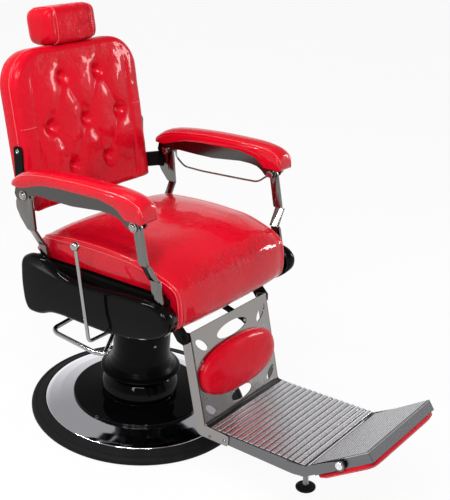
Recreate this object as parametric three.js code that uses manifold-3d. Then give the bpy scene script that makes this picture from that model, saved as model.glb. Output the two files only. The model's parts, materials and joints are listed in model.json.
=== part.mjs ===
// Hydraulic barber chair: round pump base, swivel seat, reclining back with
// parallel arms, linked leg rest with a turn-over foot panel.
// Millimetres, +Z up, origin on the floor on the column axis, the seat faces -Y.
import * as THREE from 'three';
import { mergeVertices } from 'three/addons/utils/BufferGeometryUtils.js';
import Module from 'manifold-3d';

const wasm = await Module();
wasm.setup();

// ---------------------------------------------------------------- dimensions
const GAP = 0.3;
const RUN = 0.4;

// base
const BASE_R = 325;
const RIM_W = 41.7;
const RIM_INNER_R = BASE_R - RIM_W;
const RIM_H = 32;
const PLATE_T = 8;
const COVER_R = 200;
const COVER_Z = 44.6;
const CYL_R = 62;
const CYL_TOP = 300;
const RAM_R = 28;
const BELL_R = 85;
const SKIRT_R = 120;
const SKIRT_Z = 136;
const BELL_TOP = 383.7;
const SPINDLE_R = 20;

// seat frame (tilted group): x across, v rearwards, w upwards
const TILT = THREE.MathUtils.degToRad(5);
const SEAT_REF = 430;
const RAIL_IN = 220;
const RAIL_OUT = 244;
const RAIL_W0 = 45;
const RAIL_W1 = 94.5;
const RAIL_FRONT = -300;
const RAIL_REAR = 200;
const PAN_W = 95.3;
const PAN_T = 10;
const SEAT_HALF = 242;

// posts, arms
const PIVOT_W = 70;
const REAR_PIVOT_V = 123.8;
const FRONT_PIVOT_V = -273.8;
const ARM_W = 297.3;
const POST_SHIFT = 25.9;
const ARM_REAR_V = REAR_PIVOT_V + POST_SHIFT;
const ARM_FRONT_V = FRONT_PIVOT_V + POST_SHIFT;
const POST_T = 8;
const POST_LOW_X = 256;
const POST_TOP_X = 284;
const CHANNEL_IN = 271;
const CHANNEL_OUT = 305;
const CHANNEL_T = 5;
const PAD_X0 = 257;
const PAD_X1 = 318;
const COVER_OUT = 289;
const COVER_ROUND = 14;
const COVER_WALL = 5;

// back (group leaning inside the seat frame): x across, n rearwards, u upwards
const BACK_V = 187;
const BACK_W = 220;
const BACK_LEAN = THREE.MathUtils.degToRad(7.9);
const BACK_HALF = 238;
const BACK_H = 436;
const BACK_T = 62;
const PANEL_T = 5;
const GUIDE_HALF = 24;
const GUIDE_N = BACK_T - 14;
const GUIDE_LOW = BACK_H - 134;
const STEM_HALF = 16;
const BUTTONS = [
  [-68, 348.9], [68, 348.9], [-133.5, 220.7], [0, 220.7], [133.5, 220.7], [-68, 97.6], [68, 97.6],
];

// leg rest (world coordinates)
const LEG_Y = -299;
const LEG_Z = 419;
const CALF_TOP = [-313, 437];
const CALF_LEN = 265.5;
const CALF_LEAN = Math.atan2(74, 255);
const CALF_HALF = 169;
const FOOT_ORIGIN = [
  CALF_TOP[0] - CALF_LEN * Math.sin(CALF_LEAN),
  CALF_TOP[1] - CALF_LEN * Math.cos(CALF_LEAN),
];
const FOOT_LEN = 323.8;
const FOOT_RISE = Math.atan2(34, 322);
const SHEET = 3;
const FOOT_HALF = CALF_HALF - SHEET - GAP;
const FLIP_ORIGIN = [
  FOOT_ORIGIN[0] - FOOT_LEN * Math.cos(FOOT_RISE),
  FOOT_ORIGIN[1] + FOOT_LEN * Math.sin(FOOT_RISE),
];
const FLIP_LEN = 191;
const FLIP_RISE = Math.atan2(117, 151);
const FLIP_AXIS = 97.5;
const FLIP_DROP = 15;
const FLIP_SKIRT = 29;
const FLIP_PAD = 17;
const FOOT_PITCH = 17.8;
const FLIP_PITCH = 8.9;
const FLIP_HALF = 157;

// linkage
const CRANK = 45;
const LINK_X = 95;
const SPRING_X = -110;
const SPRING_W = 22.35;
const SPRING_CRANK = 50;

// ----------------------------------------------------------------- materials
function finish(color, roughness, metalness) {
  return new THREE.MeshStandardMaterial({ color, roughness, metalness });
}
const chrome = finish(0xd9dbde, 0.08, 1);
const steel = finish(0x9b9da0, 0.35, 1);
const glossBlack = finish(0x08090a, 0.08, 0);
const satinBlack = finish(0x131415, 0.45, 0);
const rubber = finish(0x121212, 0.75, 0);
const vinyl = finish(0x8f1620, 0.33, 0);
const blackVinyl = finish(0x141416, 0.5, 0);

// ------------------------------------------------------------------- solids
function toSolid(geometry) {
  const bare = geometry.index ? geometry.toNonIndexed() : geometry.clone();
  bare.deleteAttribute('normal');
  bare.deleteAttribute('uv');
  const merged = mergeVertices(bare, 1e-4);
  const index = merged.index.array;
  const triangles = [];
  for (let i = 0; i < index.length; i += 3) {
    const a = index[i];
    const b = index[i + 1];
    const c = index[i + 2];
    if (a !== b && b !== c && c !== a) triangles.push(a, b, c);
  }
  return new wasm.Manifold(new wasm.Mesh({
    numProp: 3,
    vertProperties: new Float32Array(merged.attributes.position.array),
    triVerts: new Uint32Array(triangles),
  }));
}

function toGeometry(solid) {
  const mesh = solid.getMesh();
  const geometry = new THREE.BufferGeometry();
  geometry.setAttribute('position', new THREE.BufferAttribute(new Float32Array(mesh.vertProperties), 3));
  geometry.setIndex(new THREE.BufferAttribute(new Uint32Array(mesh.triVerts), 1));
  geometry.computeVertexNormals();
  return geometry;
}

function mirrorX(geometry) {
  const mirrored = geometry.clone();
  mirrored.applyMatrix4(new THREE.Matrix4().makeScale(-1, 1, 1));
  const index = mirrored.index.array;
  for (let i = 0; i < index.length; i += 3) {
    const held = index[i];
    index[i] = index[i + 1];
    index[i + 1] = held;
  }
  mirrored.computeVertexNormals();
  return mirrored;
}

function join(...solids) {
  let result = solids[0];
  for (const solid of solids.slice(1)) result = result.add(solid);
  return result;
}

function cut(solid, ...tools) {
  let result = solid;
  for (const tool of tools) result = result.subtract(tool);
  return result;
}

function box(x0, x1, y0, y1, z0, z1) {
  const geometry = new THREE.BoxGeometry(x1 - x0, y1 - y0, z1 - z0);
  geometry.translate((x0 + x1) / 2, (y0 + y1) / 2, (z0 + z1) / 2);
  return toSolid(geometry);
}

function shapeOf(points, radius = 0) {
  const shape = new THREE.Shape();
  if (radius === 0) {
    points.forEach(([a, b], i) => (i === 0 ? shape.moveTo(a, b) : shape.lineTo(a, b)));
    return shape;
  }
  const corners = points.map(([a, b]) => new THREE.Vector2(a, b));
  corners.forEach((corner, i) => {
    const before = corners[(i + corners.length - 1) % corners.length];
    const after = corners[(i + 1) % corners.length];
    const start = corner.clone().lerp(before, Math.min(0.45, radius / corner.distanceTo(before)));
    const end = corner.clone().lerp(after, Math.min(0.45, radius / corner.distanceTo(after)));
    if (i === 0) shape.moveTo(start.x, start.y);
    else shape.lineTo(start.x, start.y);
    shape.quadraticCurveTo(corner.x, corner.y, end.x, end.y);
  });
  shape.closePath();
  return shape;
}

const AXES = {
  x: new THREE.Matrix4().makeBasis(
    new THREE.Vector3(0, 1, 0), new THREE.Vector3(0, 0, 1), new THREE.Vector3(1, 0, 0)),
  y: new THREE.Matrix4().makeBasis(
    new THREE.Vector3(1, 0, 0), new THREE.Vector3(0, 0, 1), new THREE.Vector3(0, -1, 0)),
  z: new THREE.Matrix4(),
};

// A flat outline thickened along one axis. Along x the outline is (y, z),
// along y it is (x, z), along z it is (x, y).
function sheet(axis, shape, from, to, curveSegments = 2) {
  const geometry = new THREE.ExtrudeGeometry(shape, { depth: to - from, bevelEnabled: false, curveSegments });
  geometry.applyMatrix4(AXES[axis]);
  if (axis === 'x') geometry.translate(from, 0, 0);
  if (axis === 'y') geometry.translate(0, to, 0);
  if (axis === 'z') geometry.translate(0, 0, from);
  return toSolid(geometry);
}

function plate(axis, points, from, to, radius = 0) {
  return sheet(axis, shapeOf(points, radius), from, to);
}

// A moulded block of one outline along X with its ends rounded over.
function domed(shape, from, to, round) {
  const geometry = new THREE.ExtrudeGeometry(shape, {
    depth: to - from - 2 * round, curveSegments: 2, bevelEnabled: true,
    bevelThickness: round, bevelSize: round, bevelOffset: -round, bevelSegments: 3,
  });
  geometry.applyMatrix4(AXES.x);
  geometry.translate(from + round, 0, 0);
  return toSolid(geometry);
}

// A round bar along one axis through (p, q): (y, z), (x, z) or (x, y).
function bar(axis, p, q, r, from, to, sides = 20) {
  const geometry = new THREE.CylinderGeometry(r, r, to - from, sides);
  if (axis === 'x') {
    geometry.rotateZ(Math.PI / 2);
    geometry.translate((from + to) / 2, p, q);
  }
  if (axis === 'y') geometry.translate(p, (from + to) / 2, q);
  if (axis === 'z') {
    geometry.rotateX(Math.PI / 2);
    geometry.translate(p, q, (from + to) / 2);
  }
  return toSolid(geometry);
}

// A turned profile of (radius, height) pairs about the Z axis.
function turned(profile, sides = 36) {
  const points = [...profile, profile[0]].map(([r, z]) => new THREE.Vector2(r, z));
  const geometry = new THREE.LatheGeometry(points, sides);
  geometry.rotateX(Math.PI / 2);
  const solid = toSolid(geometry);
  return solid.volume() < 0 ? toSolid(flipped(geometry)) : solid;
}

function flipped(geometry) {
  const copy = geometry.clone();
  const index = copy.index.array;
  for (let i = 0; i < index.length; i += 3) {
    const held = index[i];
    index[i] = index[i + 1];
    index[i + 1] = held;
  }
  return copy;
}

// A round rod bent through the given points, with rounded corners.
function rod(points, r, bend, steps, sides = 10) {
  const places = points.map(([x, y, z]) => new THREE.Vector3(x, y, z));
  const path = new THREE.CurvePath();
  let from = places[0];
  for (let i = 1; i < places.length - 1; i += 1) {
    const corner = places[i];
    const a = corner.clone().lerp(places[i - 1], Math.min(0.49, bend / corner.distanceTo(places[i - 1])));
    const b = corner.clone().lerp(places[i + 1], Math.min(0.49, bend / corner.distanceTo(places[i + 1])));
    path.add(new THREE.LineCurve3(from, a));
    path.add(new THREE.QuadraticBezierCurve3(a, corner, b));
    from = b;
  }
  path.add(new THREE.LineCurve3(from, places[places.length - 1]));
  const ring = [];
  for (let i = 0; i < sides; i += 1) {
    const turn = (2 * Math.PI * i) / sides;
    ring.push([r * Math.cos(turn), r * Math.sin(turn)]);
  }
  const along = { steps, extrudePath: path, bevelEnabled: false };
  const geometry = new THREE.ExtrudeGeometry(shapeOf(ring), along);
  const solid = toSolid(geometry);
  return solid;
}

// A soft form: a finely divided cube whose points (a, b, c in -1..1) are placed one by one.
function form(nx, ny, nz, place) {
  const geometry = new THREE.BoxGeometry(2, 2, 2, nx, ny, nz);
  const position = geometry.attributes.position;
  for (let i = 0; i < position.count; i += 1) {
    const [x, y, z] = place(position.getX(i), position.getY(i), position.getZ(i));
    position.setXYZ(i, x, y, z);
  }
  return toSolid(geometry);
}

function soften(a, b, c, power) {
  const size = Math.abs(a) ** power + Math.abs(b) ** power + Math.abs(c) ** power;
  const most = Math.max(Math.abs(a), Math.abs(b), Math.abs(c));
  const scale = size > 0 ? most / size ** (1 / power) : 1;
  return [a * scale, b * scale, c * scale];
}

// Reads a list of paired points at t in 0..1: straight between the pairs.
function along(list, t) {
  const place = Math.min(t, 1) * (list.length - 1);
  const i = Math.min(Math.floor(place + 1e-9), list.length - 2);
  const f = place - i;
  return list[i].map((value, k) => value * (1 - f) + list[i + 1][k] * f);
}

// -------------------------------------------------------------------- groups
const chair = new THREE.Group();
const seat = new THREE.Group();
seat.position.set(0, 0, SEAT_REF);
seat.rotation.x = -TILT;
chair.add(seat);
const back = new THREE.Group();
back.position.set(0, BACK_V, BACK_W);
back.rotation.x = -BACK_LEAN;
seat.add(back);
const calf = new THREE.Group();
calf.position.set(0, CALF_TOP[0], CALF_TOP[1]);
calf.rotation.x = -CALF_LEAN;
chair.add(calf);
const foot = new THREE.Group();
foot.position.set(0, FOOT_ORIGIN[0], FOOT_ORIGIN[1]);
foot.rotation.x = -FOOT_RISE;
chair.add(foot);
const flip = new THREE.Group();
flip.position.set(0, FLIP_ORIGIN[0], FLIP_ORIGIN[1]);
flip.rotation.x = -FLIP_RISE;
chair.add(flip);

function addMesh(group, name, geometry, material) {
  const mesh = new THREE.Mesh(geometry, material);
  mesh.name = name;
  group.add(mesh);
}
function add(group, name, solid, material) {
  addMesh(group, name, toGeometry(solid), material);
}
// The solid is built on the +X side; the chair's left is +X.
function addPair(group, name, solid, material) {
  const geometry = toGeometry(solid);
  addMesh(group, `${name}_left`, geometry, material);
  addMesh(group, `${name}_right`, mirrorX(geometry), material);
}

// ---------------------------------------------------------------------- base
add(chair, 'base_plate', turned([
  [0, 0], [RIM_INNER_R - GAP, 0], [RIM_INNER_R - GAP, PLATE_T], [0, PLATE_T],
], 36), steel);
add(chair, 'base_rim', turned([
  [RIM_INNER_R, 0], [BASE_R - 4, 0], [BASE_R, 4], [BASE_R, 15],
  [BASE_R - 6, 21], [BASE_R - 24, 28], [RIM_INNER_R, RIM_H],
], 36), rubber);
const dishEdge = RIM_INNER_R - 2 * GAP;
add(chair, 'base_cover', turned([
  [dishEdge, PLATE_T + GAP], [dishEdge, RIM_H - 1], [dishEdge - 12, RIM_H + 2], [COVER_R + 40, 39.5],
  [COVER_R, 44], [CYL_R + 4.5, 46.2], [CYL_R + 4.5, 43.2], [COVER_R, 41], [COVER_R + 40, 36.5],
  [dishEdge - 12, RIM_H - 1.5], [dishEdge - 4, PLATE_T + GAP],
], 36), chrome);
add(chair, 'pump_cover', turned([
  [CYL_R + 1, COVER_Z + 2.3], [COVER_R, COVER_Z], [COVER_R, 50.5], [COVER_R - 4, 53], [106, 57.5],
  [117, 69], [119, 77], [113, 95], [98, 116], [82, 130], [CYL_R + 1, 132],
], 30), glossBlack);
add(chair, 'pump_cylinder', turned([
  [0, PLATE_T + GAP], [CYL_R, PLATE_T + GAP], [CYL_R, CYL_TOP], [CYL_R - 5, CYL_TOP], [CYL_R - 5, 16],
  [RAM_R + 6, 16], [RAM_R + 6, CYL_TOP], [RAM_R + RUN, CYL_TOP], [RAM_R + RUN, 18], [0, 18],
], 24), steel);
add(chair, 'cylinder_head', turned([
  [RAM_R + RUN, CYL_TOP + GAP], [CYL_R + 3, CYL_TOP + GAP], [CYL_R + 3, CYL_TOP + 9],
  [CYL_R, CYL_TOP + 12], [RAM_R + RUN, CYL_TOP + 12],
], 24), satinBlack);

// -------------------------------------------------------------------- column
add(chair, 'ram', turned([
  [0, 24], [RAM_R, 24], [RAM_R, BELL_TOP], [SPINDLE_R, BELL_TOP], [SPINDLE_R, SEAT_REF], [0, SEAT_REF],
], 24), chrome);
add(chair, 'column_bell', turned([
  [RAM_R + GAP, BELL_TOP], [BELL_R - 2, BELL_TOP], [BELL_R, BELL_TOP - 2], [BELL_R, 215], [BELL_R + 4, 190],
  [BELL_R + 13, 165], [BELL_R + 23, 148], [SKIRT_R, SKIRT_Z], [SKIRT_R - 3.5, SKIRT_Z], [BELL_R + 9, 165],
  [BELL_R + 1, 190], [BELL_R - 3, 215], [BELL_R - 3, BELL_TOP - 11], [RAM_R + GAP, BELL_TOP - 11],
], 28), satinBlack);
add(chair, 'swivel_bearing', turned([
  [SPINDLE_R + RUN, BELL_TOP + GAP], [BELL_R - 25, BELL_TOP + GAP], [BELL_R - 25, BELL_TOP + 8],
  [SPINDLE_R + RUN, BELL_TOP + 8],
], 28), steel);

// --------------------------------------------------------------- swivel head
const LEVER_X = -100;
const LEVER_Z = 400;
const LEVER_PIN_R = 8;
function tilted(solid) {
  const geometry = toGeometry(solid);
  geometry.rotateX(-TILT);
  geometry.translate(0, 0, SEAT_REF);
  return toSolid(geometry);
}
const hubZ = BELL_TOP + 8.6;
const headPlate = tilted(plate('z', [[-85, -110], [85, -110], [85, 60], [-85, 60]], 50, 60, 14));
const hub = turned([[0, hubZ], [CYL_R, hubZ], [CYL_R, hubZ + 14], [46, hubZ + 40], [46, 482], [0, 482]], 28);
const lug = plate('y', [
  [-40, hubZ + 1], [LEVER_X - 10, hubZ + 1], [LEVER_X - 15, LEVER_Z], [LEVER_X - 10, LEVER_Z + 13],
  [-40, LEVER_Z + 26],
], -32, 24, 4);
add(chair, 'swivel_head', cut(
  join(headPlate, hub, lug),
  bar('z', 0, 0, SPINDLE_R + RUN, hubZ - 5, SEAT_REF + 8, 28),
  bar('y', LEVER_X, LEVER_Z, LEVER_PIN_R + RUN, -40, 32, 16),
), satinBlack);

// ---------------------------------------------------------------- pump lever
const eyeFront = bar('y', LEVER_X, LEVER_Z, 15, -46, -36, 16);
const eyeRear = bar('y', LEVER_X, LEVER_Z, 15, 28, 38, 16);
const loop = rod([
  [LEVER_X - 6, -41, LEVER_Z - 2], [-130, -42, 391], [-285, -121, 343], [-296, -100, 340], [-296, 55, 340],
  [-285, 74, 343], [-130, 34, 391], [LEVER_X - 6, 33, LEVER_Z - 2],
], 6.5, 22, 20, 8);
add(chair, 'pump_lever', cut(
  join(loop, eyeFront, eyeRear),
  bar('y', LEVER_X, LEVER_Z, LEVER_PIN_R + GAP, -50, 42, 16),
), chrome);
add(chair, 'pump_lever_pin', join(
  bar('y', LEVER_X, LEVER_Z, LEVER_PIN_R, -54, 46, 16),
  bar('y', LEVER_X, LEVER_Z, 12, -54, -48.4, 6),
  bar('y', LEVER_X, LEVER_Z, 12, 40.4, 46, 6),
), steel);

// ---------------------------------------------------------------- seat frame
const railShape = [[RAIL_FRONT, RAIL_W0], [RAIL_REAR, RAIL_W0], [RAIL_REAR, RAIL_W1], [RAIL_FRONT, RAIL_W1]];
const frameParts = [
  plate('x', railShape, RAIL_IN, RAIL_OUT),
  plate('x', railShape, -RAIL_OUT, -RAIL_IN),
  box(-RAIL_IN, RAIL_IN, -285, -245, 60.3, RAIL_W1),
  box(-RAIL_IN, RAIL_IN, -100, -60, 60.3, RAIL_W1),
  box(-RAIL_IN, RAIL_IN, 15, 55, 60.3, RAIL_W1),
  box(-RAIL_IN, RAIL_IN, 160, 195, 60.3, RAIL_W1),
];
const springBracket = plate('x', [
  [-108, 62], [-66, 62], [-76, SPRING_W - 12], [-100, SPRING_W - 12],
], SPRING_X - 16, SPRING_X - 8, 3);
const leverHanger = plate('x', [
  [-150, 62], [-60, 62], [-84, -61], [-118, -61],
], -221, -213, 4);
const RECLINE_V = -101.3;
const RECLINE_W = -47.5;
add(seat, 'seat_frame', cut(
  join(
    ...frameParts, springBracket, leverHanger,
    bar('x', -88, SPRING_W, 4, SPRING_X - 10, SPRING_X + 9, 12),
  ),
  bar('x', REAR_PIVOT_V, PIVOT_W, 12 + RUN, -260, 260, 24),
  bar('x', FRONT_PIVOT_V, PIVOT_W, 8 + RUN, RAIL_IN - 5, RAIL_OUT + 5, 16),
  bar('x', FRONT_PIVOT_V, PIVOT_W, 8 + RUN, -RAIL_OUT - 5, 5 - RAIL_IN, 16),
  bar('x', RECLINE_V, RECLINE_W, 5 + RUN, -230, -200, 16),
), satinBlack);
const panLine = [[-232, -266], [232, -266], [232, 190], [-232, 190]];
add(seat, 'seat_pan', plate('z', panLine, PAN_W, PAN_W + PAN_T, 20), steel);

// seat cushion: outer (crown) and inner (underside) lines from the rear to the apron's foot
const padBottom = PAN_W + PAN_T + GAP;
const SEAT_LINES = [
  [160, 176, 203, 112, 240], [100, 190, 140, padBottom, 242], [20, 198, 40, padBottom, 242],
  [-57, 200, -50, padBottom, 242], [-130, 197, -125, padBottom, 242], [-198, 191, -190, padBottom, 240],
  [-267, 171, -245, padBottom, 230], [-308, 150, -278, padBottom, 217], [-335, 121, -290, 95, 212],
  [-343, 65, -291, 62, 210], [-337, 28, -290, 28, 209], [-312, 4, -289, 3, 208],
];
add(seat, 'seat_cushion', form(12, 18, 1, (a, b, c) => {
  const t = (1 - b) / 2;
  const [ov, ow, iv, iw, half] = along(SEAT_LINES, t);
  const k = (c + 1) / 2;
  const fall = (t < 0.6 ? 24 : 14) * Math.abs(a) ** 4 * k;
  const dv = ov - iv;
  const dw = ow - iw;
  const length = Math.hypot(dv, dw);
  const v = iv + dv * k - (dv / length) * fall;
  const w = iw + dw * k - (dw / length) * fall;
  return [a * half * (1 - 0.012 * c * c), v, w];
}), vinyl);

// ---------------------------------------------------------------- side covers
const COVER_LINE = [
  [205, 88], [209, 30], [202, -30], [186, -58], [138, -58], [98, -40], [50, -36], [-27, -38], [-140, -38],
  [-229, -26], [-300, -4], [-334, 30], [-337, 60], [-316, 84], [-272, 95], [-220, 95], [-130, 87],
  [-50, 81], [10, 82], [60, 92], [92, 112], [122, 123], [168, 120], [196, 106],
];
const COVER_INSIDE = COVER_LINE.map(([v, w], i) => {
  const [before, after] = [COVER_LINE.at(i - 1), COVER_LINE[(i + 1) % COVER_LINE.length]];
  const run = Math.hypot(after[0] - before[0], after[1] - before[1]);
  return [v - (COVER_WALL * (after[1] - before[1])) / -run, w + (COVER_WALL * (after[0] - before[0])) / -run];
});
addPair(seat, 'side_cover', cut(
  domed(shapeOf(COVER_LINE), RAIL_OUT - 30, COVER_OUT, COVER_ROUND),
  box(RAIL_OUT - 50, RAIL_OUT + GAP, -400, 300, -100, 150),
  domed(shapeOf(COVER_INSIDE), RAIL_OUT - 40, COVER_OUT - COVER_WALL, COVER_ROUND),
  box(RAIL_OUT - 10, 269, -306, 187, 60, 140),
  box(RAIL_OUT - 10, 269, 150, 230, 86, 140),
), glossBlack);

// ------------------------------------------------------------ posts and shaft
const shaftCrank = plate('x', [
  [REAR_PIVOT_V - 17, PIVOT_W + 4], [REAR_PIVOT_V - 9, PIVOT_W - CRANK - 9],
  [REAR_PIVOT_V + 9, PIVOT_W - CRANK - 9], [REAR_PIVOT_V + 17, PIVOT_W + 4],
], LINK_X - 16, LINK_X - 8, 5);
const springPin = [REAR_PIVOT_V + 21.1, PIVOT_W - 45.3];
const springArm = plate('x', [
  [REAR_PIVOT_V - 16, PIVOT_W], [springPin[0] - 9, springPin[1] - 6],
  [springPin[0] + 7, springPin[1] - 8], [REAR_PIVOT_V + 17, PIVOT_W],
], SPRING_X + 9, SPRING_X + 17, 4);
add(seat, 'recline_shaft', join(
  bar('x', REAR_PIVOT_V, PIVOT_W, 12, -POST_LOW_X + GAP, POST_LOW_X - GAP, 24),
  shaftCrank,
  bar('x', REAR_PIVOT_V, PIVOT_W - CRANK, 5, LINK_X - 10, LINK_X + 9, 14),
  springArm,
  bar('x', springPin[0], springPin[1], 5, SPRING_X - 9, SPRING_X + 11, 14),
), steel);

const JOG0 = PIVOT_W + 78;
const JOG1 = ARM_W - 101.3;
const rearPost = cut(join(
  plate('x', [
    [REAR_PIVOT_V - 15, PIVOT_W - 14], [REAR_PIVOT_V + 15, PIVOT_W - 14], [REAR_PIVOT_V + 20, PIVOT_W + 60],
    [REAR_PIVOT_V + 26, JOG0 + 1], [REAR_PIVOT_V - 3, JOG0 + 1], [REAR_PIVOT_V - 9, PIVOT_W + 40],
  ], POST_LOW_X, POST_LOW_X + POST_T, 3),
  plate('x', [
    ...[[-23, 0], [6, 0], [32, 0]].map(([v, w], i) => [ARM_REAR_V + v, i === 2 ? ARM_W - 72 : JOG1 - 1 + w]),
    ...[[46, -47], [46, -27], [28, 8], [11, 13.7], [-10, 13.7], [-15.7, 3]]
      .map(([v, w]) => [ARM_REAR_V + v, ARM_W + w]),
  ], POST_TOP_X, POST_TOP_X + POST_T, 5),
  plate('y', [
    [POST_LOW_X, JOG0], [POST_LOW_X + POST_T, JOG0], [POST_TOP_X + POST_T, JOG1], [POST_TOP_X, JOG1],
  ], REAR_PIVOT_V + 2, REAR_PIVOT_V + 26),
), bar('x', ARM_REAR_V, ARM_W, 6 + RUN, 270, 300, 16));
addPair(seat, 'rear_post', rearPost, chrome);

const frontPost = cut(join(
  bar('x', FRONT_PIVOT_V, PIVOT_W, 17, POST_LOW_X, POST_LOW_X + POST_T, 20),
  bar('x', FRONT_PIVOT_V, PIVOT_W, 8, RAIL_IN + 1, POST_LOW_X + 2, 16),
  plate('x', [
    [FRONT_PIVOT_V - 26, PIVOT_W + 8], [FRONT_PIVOT_V + 3, PIVOT_W - 4], [FRONT_PIVOT_V + 11, JOG0 + 1],
    [FRONT_PIVOT_V - 18, JOG0 + 1], [FRONT_PIVOT_V - 29, PIVOT_W + 22],
  ], POST_LOW_X, POST_LOW_X + POST_T, 3),
  plate('x', [
    [ARM_FRONT_V - 31, JOG1 - 1], [ARM_FRONT_V - 3, JOG1 - 1], [ARM_FRONT_V + 14, ARM_W - 5],
    [ARM_FRONT_V + 9, ARM_W + 8], [ARM_FRONT_V - 7, ARM_W + 8], [ARM_FRONT_V - 13, ARM_W - 1],
  ], POST_TOP_X, POST_TOP_X + POST_T, 5),
  plate('y', [
    [POST_LOW_X, JOG0], [POST_LOW_X + POST_T, JOG0], [POST_TOP_X + POST_T, JOG1], [POST_TOP_X, JOG1],
  ], FRONT_PIVOT_V - 12, FRONT_PIVOT_V + 16),
), bar('x', ARM_FRONT_V, ARM_W, 6 + RUN, 270, 300, 16));
addPair(seat, 'front_post', frontPost, chrome);

// ---------------------------------------------------------------------- arms
// arm pad: crown and underside points along v, heights above the arm pivots
const PAD_RISE = [
  [-287, 34, -284, 15], [-280, 58, -278, 15], [-261, 73, -270, 17.7], [-231, 81, -233, 17.7],
  [-196, 85, -203, 42.7], [-147, 86, -147, 53.7], [-67, 86, -67, 52.7], [3, 83.5, 3, 51.7],
  [60, 79.5, 62, 46.7], [110, 73, 104, 35.7], [150, 62, 142, 24.7], [184, 42, 178, 22.7],
];
const PAD_LINES = PAD_RISE.map(([tv, tw, bv, bw]) => [tv, ARM_W + tw, bv, ARM_W + bw]);
const underPad = PAD_LINES.slice(2).map(([, , v, w]) => [v, w - 0.6]);
const channelLine = [
  [-264, ARM_W + 17.1],
  ...underPad.slice(1),
  ...[[178, -1.3], [158, -29.3], [108, -32.3], [44, -7.3], [7, 11.7], [-77, 13.7],
    [-145, 23.7], [-196, 19.7], [-228, 1.7], [-247, -13.3], [-264, -7.3]].map(([v, w]) => [v, ARM_W + w]),
];
const channelInside = channelLine.map(([v, w], i) => [v, i < 10 ? w - 4.5 : w - 60]);
channelInside[0][0] = -300;
channelInside[9][0] = 230;
channelInside[10] = [230, ARM_W - 97];
channelInside[channelInside.length - 1] = [-300, ARM_W - 97];
addPair(seat, 'arm_channel', cut(
  plate('x', channelLine, CHANNEL_IN, CHANNEL_OUT),
  plate('x', channelInside, CHANNEL_IN + CHANNEL_T, CHANNEL_OUT - CHANNEL_T),
  bar('x', ARM_REAR_V, ARM_W, 6 + GAP, 265, 310, 16),
  bar('x', ARM_FRONT_V, ARM_W, 6 + GAP, 265, 310, 16),
), chrome);
const padMid = (PAD_X0 + PAD_X1) / 2;
const padHalf = (PAD_X1 - PAD_X0) / 2;
addPair(seat, 'arm_pad', form(6, 11, 1, (a, b, c) => {
  const [tv, tw, bv, bw] = along(PAD_LINES, (1 + b) / 2);
  const k = (c + 1) / 2;
  const fall = 9 * Math.abs(a) ** 4 * k;
  const nose = 1 - 0.28 * Math.max(0, -b - 0.8) / 0.2;
  return [padMid + a * padHalf * nose * (1 - 0.05 * c * c), bv + (tv - bv) * k, bw + (tw - bw) * k - fall];
}), vinyl);

function armBolt(v, w) {
  return join(
    bar('x', v, w, 6, 264, 308, 12),
    bar('x', v, w, 10, 262, CHANNEL_IN - GAP, 6),
    bar('x', v, w, 11, CHANNEL_OUT + GAP, 311, 12),
    bar('x', v, w, 7, 310, 315, 12),
  );
}
addPair(seat, 'arm_bolt_rear', armBolt(ARM_REAR_V, ARM_W), chrome);
addPair(seat, 'arm_bolt_front', armBolt(ARM_FRONT_V, ARM_W), chrome);

// towel rail on the chair's left arm, hung from the two outer bolts
const RAIL_X = 321;
function intoSeat([y, z]) {
  const dz = z - SEAT_REF;
  return [y * Math.cos(TILT) - dz * Math.sin(TILT), y * Math.sin(TILT) + dz * Math.cos(TILT)];
}
const railPath = [[117.5, -57], [49, -59], [-105.6, -54.5], [-166.9, -51.9], [-200.2, -26.7], [-240.7, -12]];
add(seat, 'towel_rail', join(
  rod([
    [RAIL_X, ARM_REAR_V, ARM_W], [RAIL_X, ARM_REAR_V + 2, ARM_W - 30],
    ...railPath.map(([v, w]) => [RAIL_X, v, ARM_W + w]),
    [RAIL_X, ARM_FRONT_V, ARM_W],
  ], 3, 16, 18, 6),
  bar('x', ARM_REAR_V, ARM_W, 9, 315.3, 323, 12),
  bar('x', ARM_FRONT_V, ARM_W, 9, 315.3, 323, 12),
), chrome);

// ---------------------------------------------------------------------- back
function backOutline(a, b, half, low, high, corner) {
  let x = a * half;
  let u = low + ((high - low) * (b + 1)) / 2;
  const s = (Math.abs(x) - (half - corner)) / corner;
  const t = (u - (high - corner)) / corner;
  if (s > 0 && t > 0) {
    x = Math.sign(x) * (half - corner + corner * s * Math.sqrt(1 - (t * t) / 2));
    u = high - corner + corner * t * Math.sqrt(1 - (s * s) / 2);
  }
  return [x, u];
}
function tuft(x, u) {
  let depth = 0;
  for (const [bx, bu] of BUTTONS) {
    const d = Math.hypot(x - bx, u - bu);
    depth = Math.max(depth, 15 * Math.exp(-((d / 30) ** 2)));
  }
  return depth;
}
let backSoft = form(14, 1, 16, (a, b, c) => {
  const [x, u] = backOutline(a, c, BACK_HALF, 0, BACK_H, 100);
  const front = (1 - b) / 2;
  const crown = 16 * (1 - Math.abs(a) ** 4) * (1 - Math.abs(c) ** 4) - tuft(x, u);
  const n = BACK_T - front * (BACK_T + crown);
  return [x, n, u];
});
for (const [x, u] of BUTTONS) backSoft = backSoft.subtract(bar('y', x, u, 12.5, -30, 1, 12));
backSoft = backSoft.subtract(box(
  -GUIDE_HALF - GAP, GUIDE_HALF + GAP, GUIDE_N - GAP, BACK_T + 5, GUIDE_LOW - 2, BACK_H + 5));
add(back, 'back_cushion', backSoft, vinyl);
const panelHalf = BACK_HALF - 9;
const panelOutline = [];
for (let i = 0; i <= 8; i += 1) {
  const turn = (Math.PI / 2) * (i / 8);
  panelOutline.push([panelHalf - 92 + 92 * Math.cos(turn), BACK_H - 100 + 92 * Math.sin(turn)]);
}
for (let i = 8; i >= 0; i -= 1) panelOutline.push([-panelOutline[i][0], panelOutline[i][1]]);
panelOutline.push([-panelHalf, 9], [panelHalf, 9]);
const PANEL_N = BACK_T + GAP;
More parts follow.
